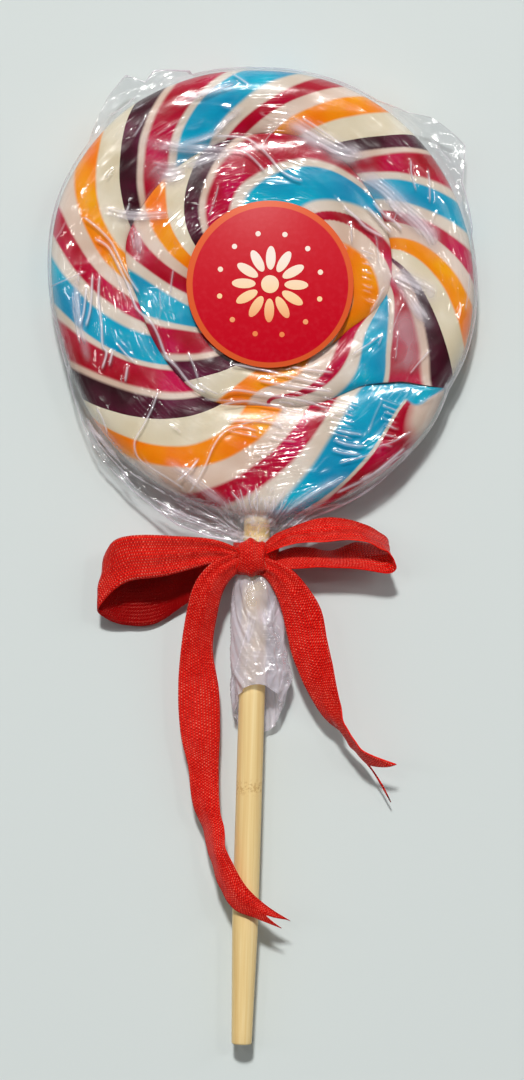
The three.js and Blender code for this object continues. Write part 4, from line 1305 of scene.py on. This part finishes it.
# Painted shade: where that number is set, the dye is mixed towards a dark red for the loop's shaded inside.
inner_shade_read = add("Attribute", attribute_name="painted_inner_shade").outputs["Fac"]
dye_with_inner_shade = add("Mix", {0: inner_shade_read, 6: dye_with_painted_light, 7: "#a00006"}, data_type="RGBA")
cloth_front = add("BsdfPrincipled", {
    "Base Color": dye_with_inner_shade, "Roughness": 0.28, "Specular Tint": "#ffb09a", "Normal": weave_bump,
})
glow = add("BsdfTranslucent", {"Color": "#ff2a1c"})
cloth_solid = add("MixShader", 0.18, cloth_front, glow)
between_threads = add("BsdfTransparent", {"Color": "#ff2c1c"})
cloth_pieces = [ribbon_knot, ribbon_band, *(strip for strip, _ in bow_strips.values())]
paint(cloth_pieces, woven, add("MixShader", 0.05, cloth_solid, between_threads))
for piece in cloth_pieces:
    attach(piece, "root")
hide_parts("ribbon")

# %% [markdown]
# ## The bamboo stick
# The stick is split bamboo, turned round and sanded, a little thinner at its free end. It is a
# cylinder primitive cut into lengths in edit mode, so that the end can be made thinner bit by bit,
# and bevelled at the rims.

# %% Turn the stick
STICK_TAPER_Y, STICK_END_RADIUS = -150, 2.4
TAPER_CUTS = 8
stick_middle = (0, (STICK_TOP_Y + STICK_END_Y) / 2, STICK_Z)
stick = cylinder("bamboo_stick", stick_middle, STICK_RADIUS, STICK_TOP_Y - STICK_END_Y, 72, ALONG_Y)
bpy.ops.object.mode_set(mode="EDIT")
for cut_y in np.linspace(STICK_TAPER_Y, STICK_END_Y + 3, TAPER_CUTS):
    bpy.ops.mesh.select_all(action="SELECT")
    bpy.ops.mesh.bisect(plane_co=(0, cut_y * MM, 0), plane_no=(0, 1, 0))
bpy.ops.object.mode_set(mode="OBJECT")
for vertex in stick.data.vertices:
    tapered = np.clip((STICK_TAPER_Y - vertex.co.y / MM) / (STICK_TAPER_Y - STICK_END_Y), 0, 1)
    thin = 1 - (1 - STICK_END_RADIUS / STICK_RADIUS) * tapered
    vertex.co.x *= thin
    vertex.co.z = STICK_Z * MM + (vertex.co.z - STICK_Z * MM) * thin
finish_with(stick, "BEVEL", width=0.5 * MM, segments=4, limit_method="ANGLE", angle_limit=math.radians(50))
bpy.ops.object.shade_smooth_by_angle(angle=math.radians(35))
print("stick:", len(stick.data.polygons), "faces")

# %% [markdown]
# ## Bamboo
# Bamboo shows fine straight fibres along its length, each under 0.3 mm across and many
# centimetres long, and a faint speckled ring where a node of the cane was. Noise that is stretched
# fifty times along the stick draws the fibres and the broader pale bands.

# %% Bamboo, sanded
NODE_Y = -117.4
bamboo, add = start_material("bamboo, sanded")
here = add("TexCoord").outputs["Object"]
stretched = add("Mapping", {"Vector": here, "Scale": (1.0, 0.02, 1.0)})
fibre = add("TexNoise", {"Vector": stretched, "Scale": 2200.0, "Detail": 3.0})
bands = add("TexNoise", {"Vector": stretched, "Scale": 500.0, "Detail": 2.0})
grain_mix = add("Math", fibre, 0.5, bands, operation="MULTIPLY_ADD")
wood = add("ValToRGB", grain_mix, stops=[(0.45, "#d9b676"), (0.75, "#e6ca8e"), (1.0, "#eed9a4")])

_, here_y, _ = add("SeparateXYZ", here).outputs
from_node = add("Math", here_y, NODE_Y * MM, operation="SUBTRACT")
node_gap = add("Math", from_node, operation="ABSOLUTE")
at_node = add("MapRange", node_gap, 0.6 * MM, 2.2 * MM, 1.0, 0.0)
speckle = add("TexNoise", {"Vector": here, "Scale": 1400.0, "Detail": 2.0})
speckled = add("MapRange", speckle, 0.5, 0.62, 0.0, 0.6)
speckle_here = add("Math", speckled, at_node, operation="MULTIPLY")
marked = add("Mix", {0: speckle_here, 6: wood, 7: "#b98b4e"}, data_type="RGBA")

wood_bump = add("Bump", {"Height": fibre, "Strength": 0.25, "Distance": 0.0001})
sanded = add("BsdfPrincipled", {"Base Color": marked, "Roughness": 0.48, "Normal": wood_bump})
paint([stick], bamboo, sanded)
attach(stick, "root")
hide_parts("stick")
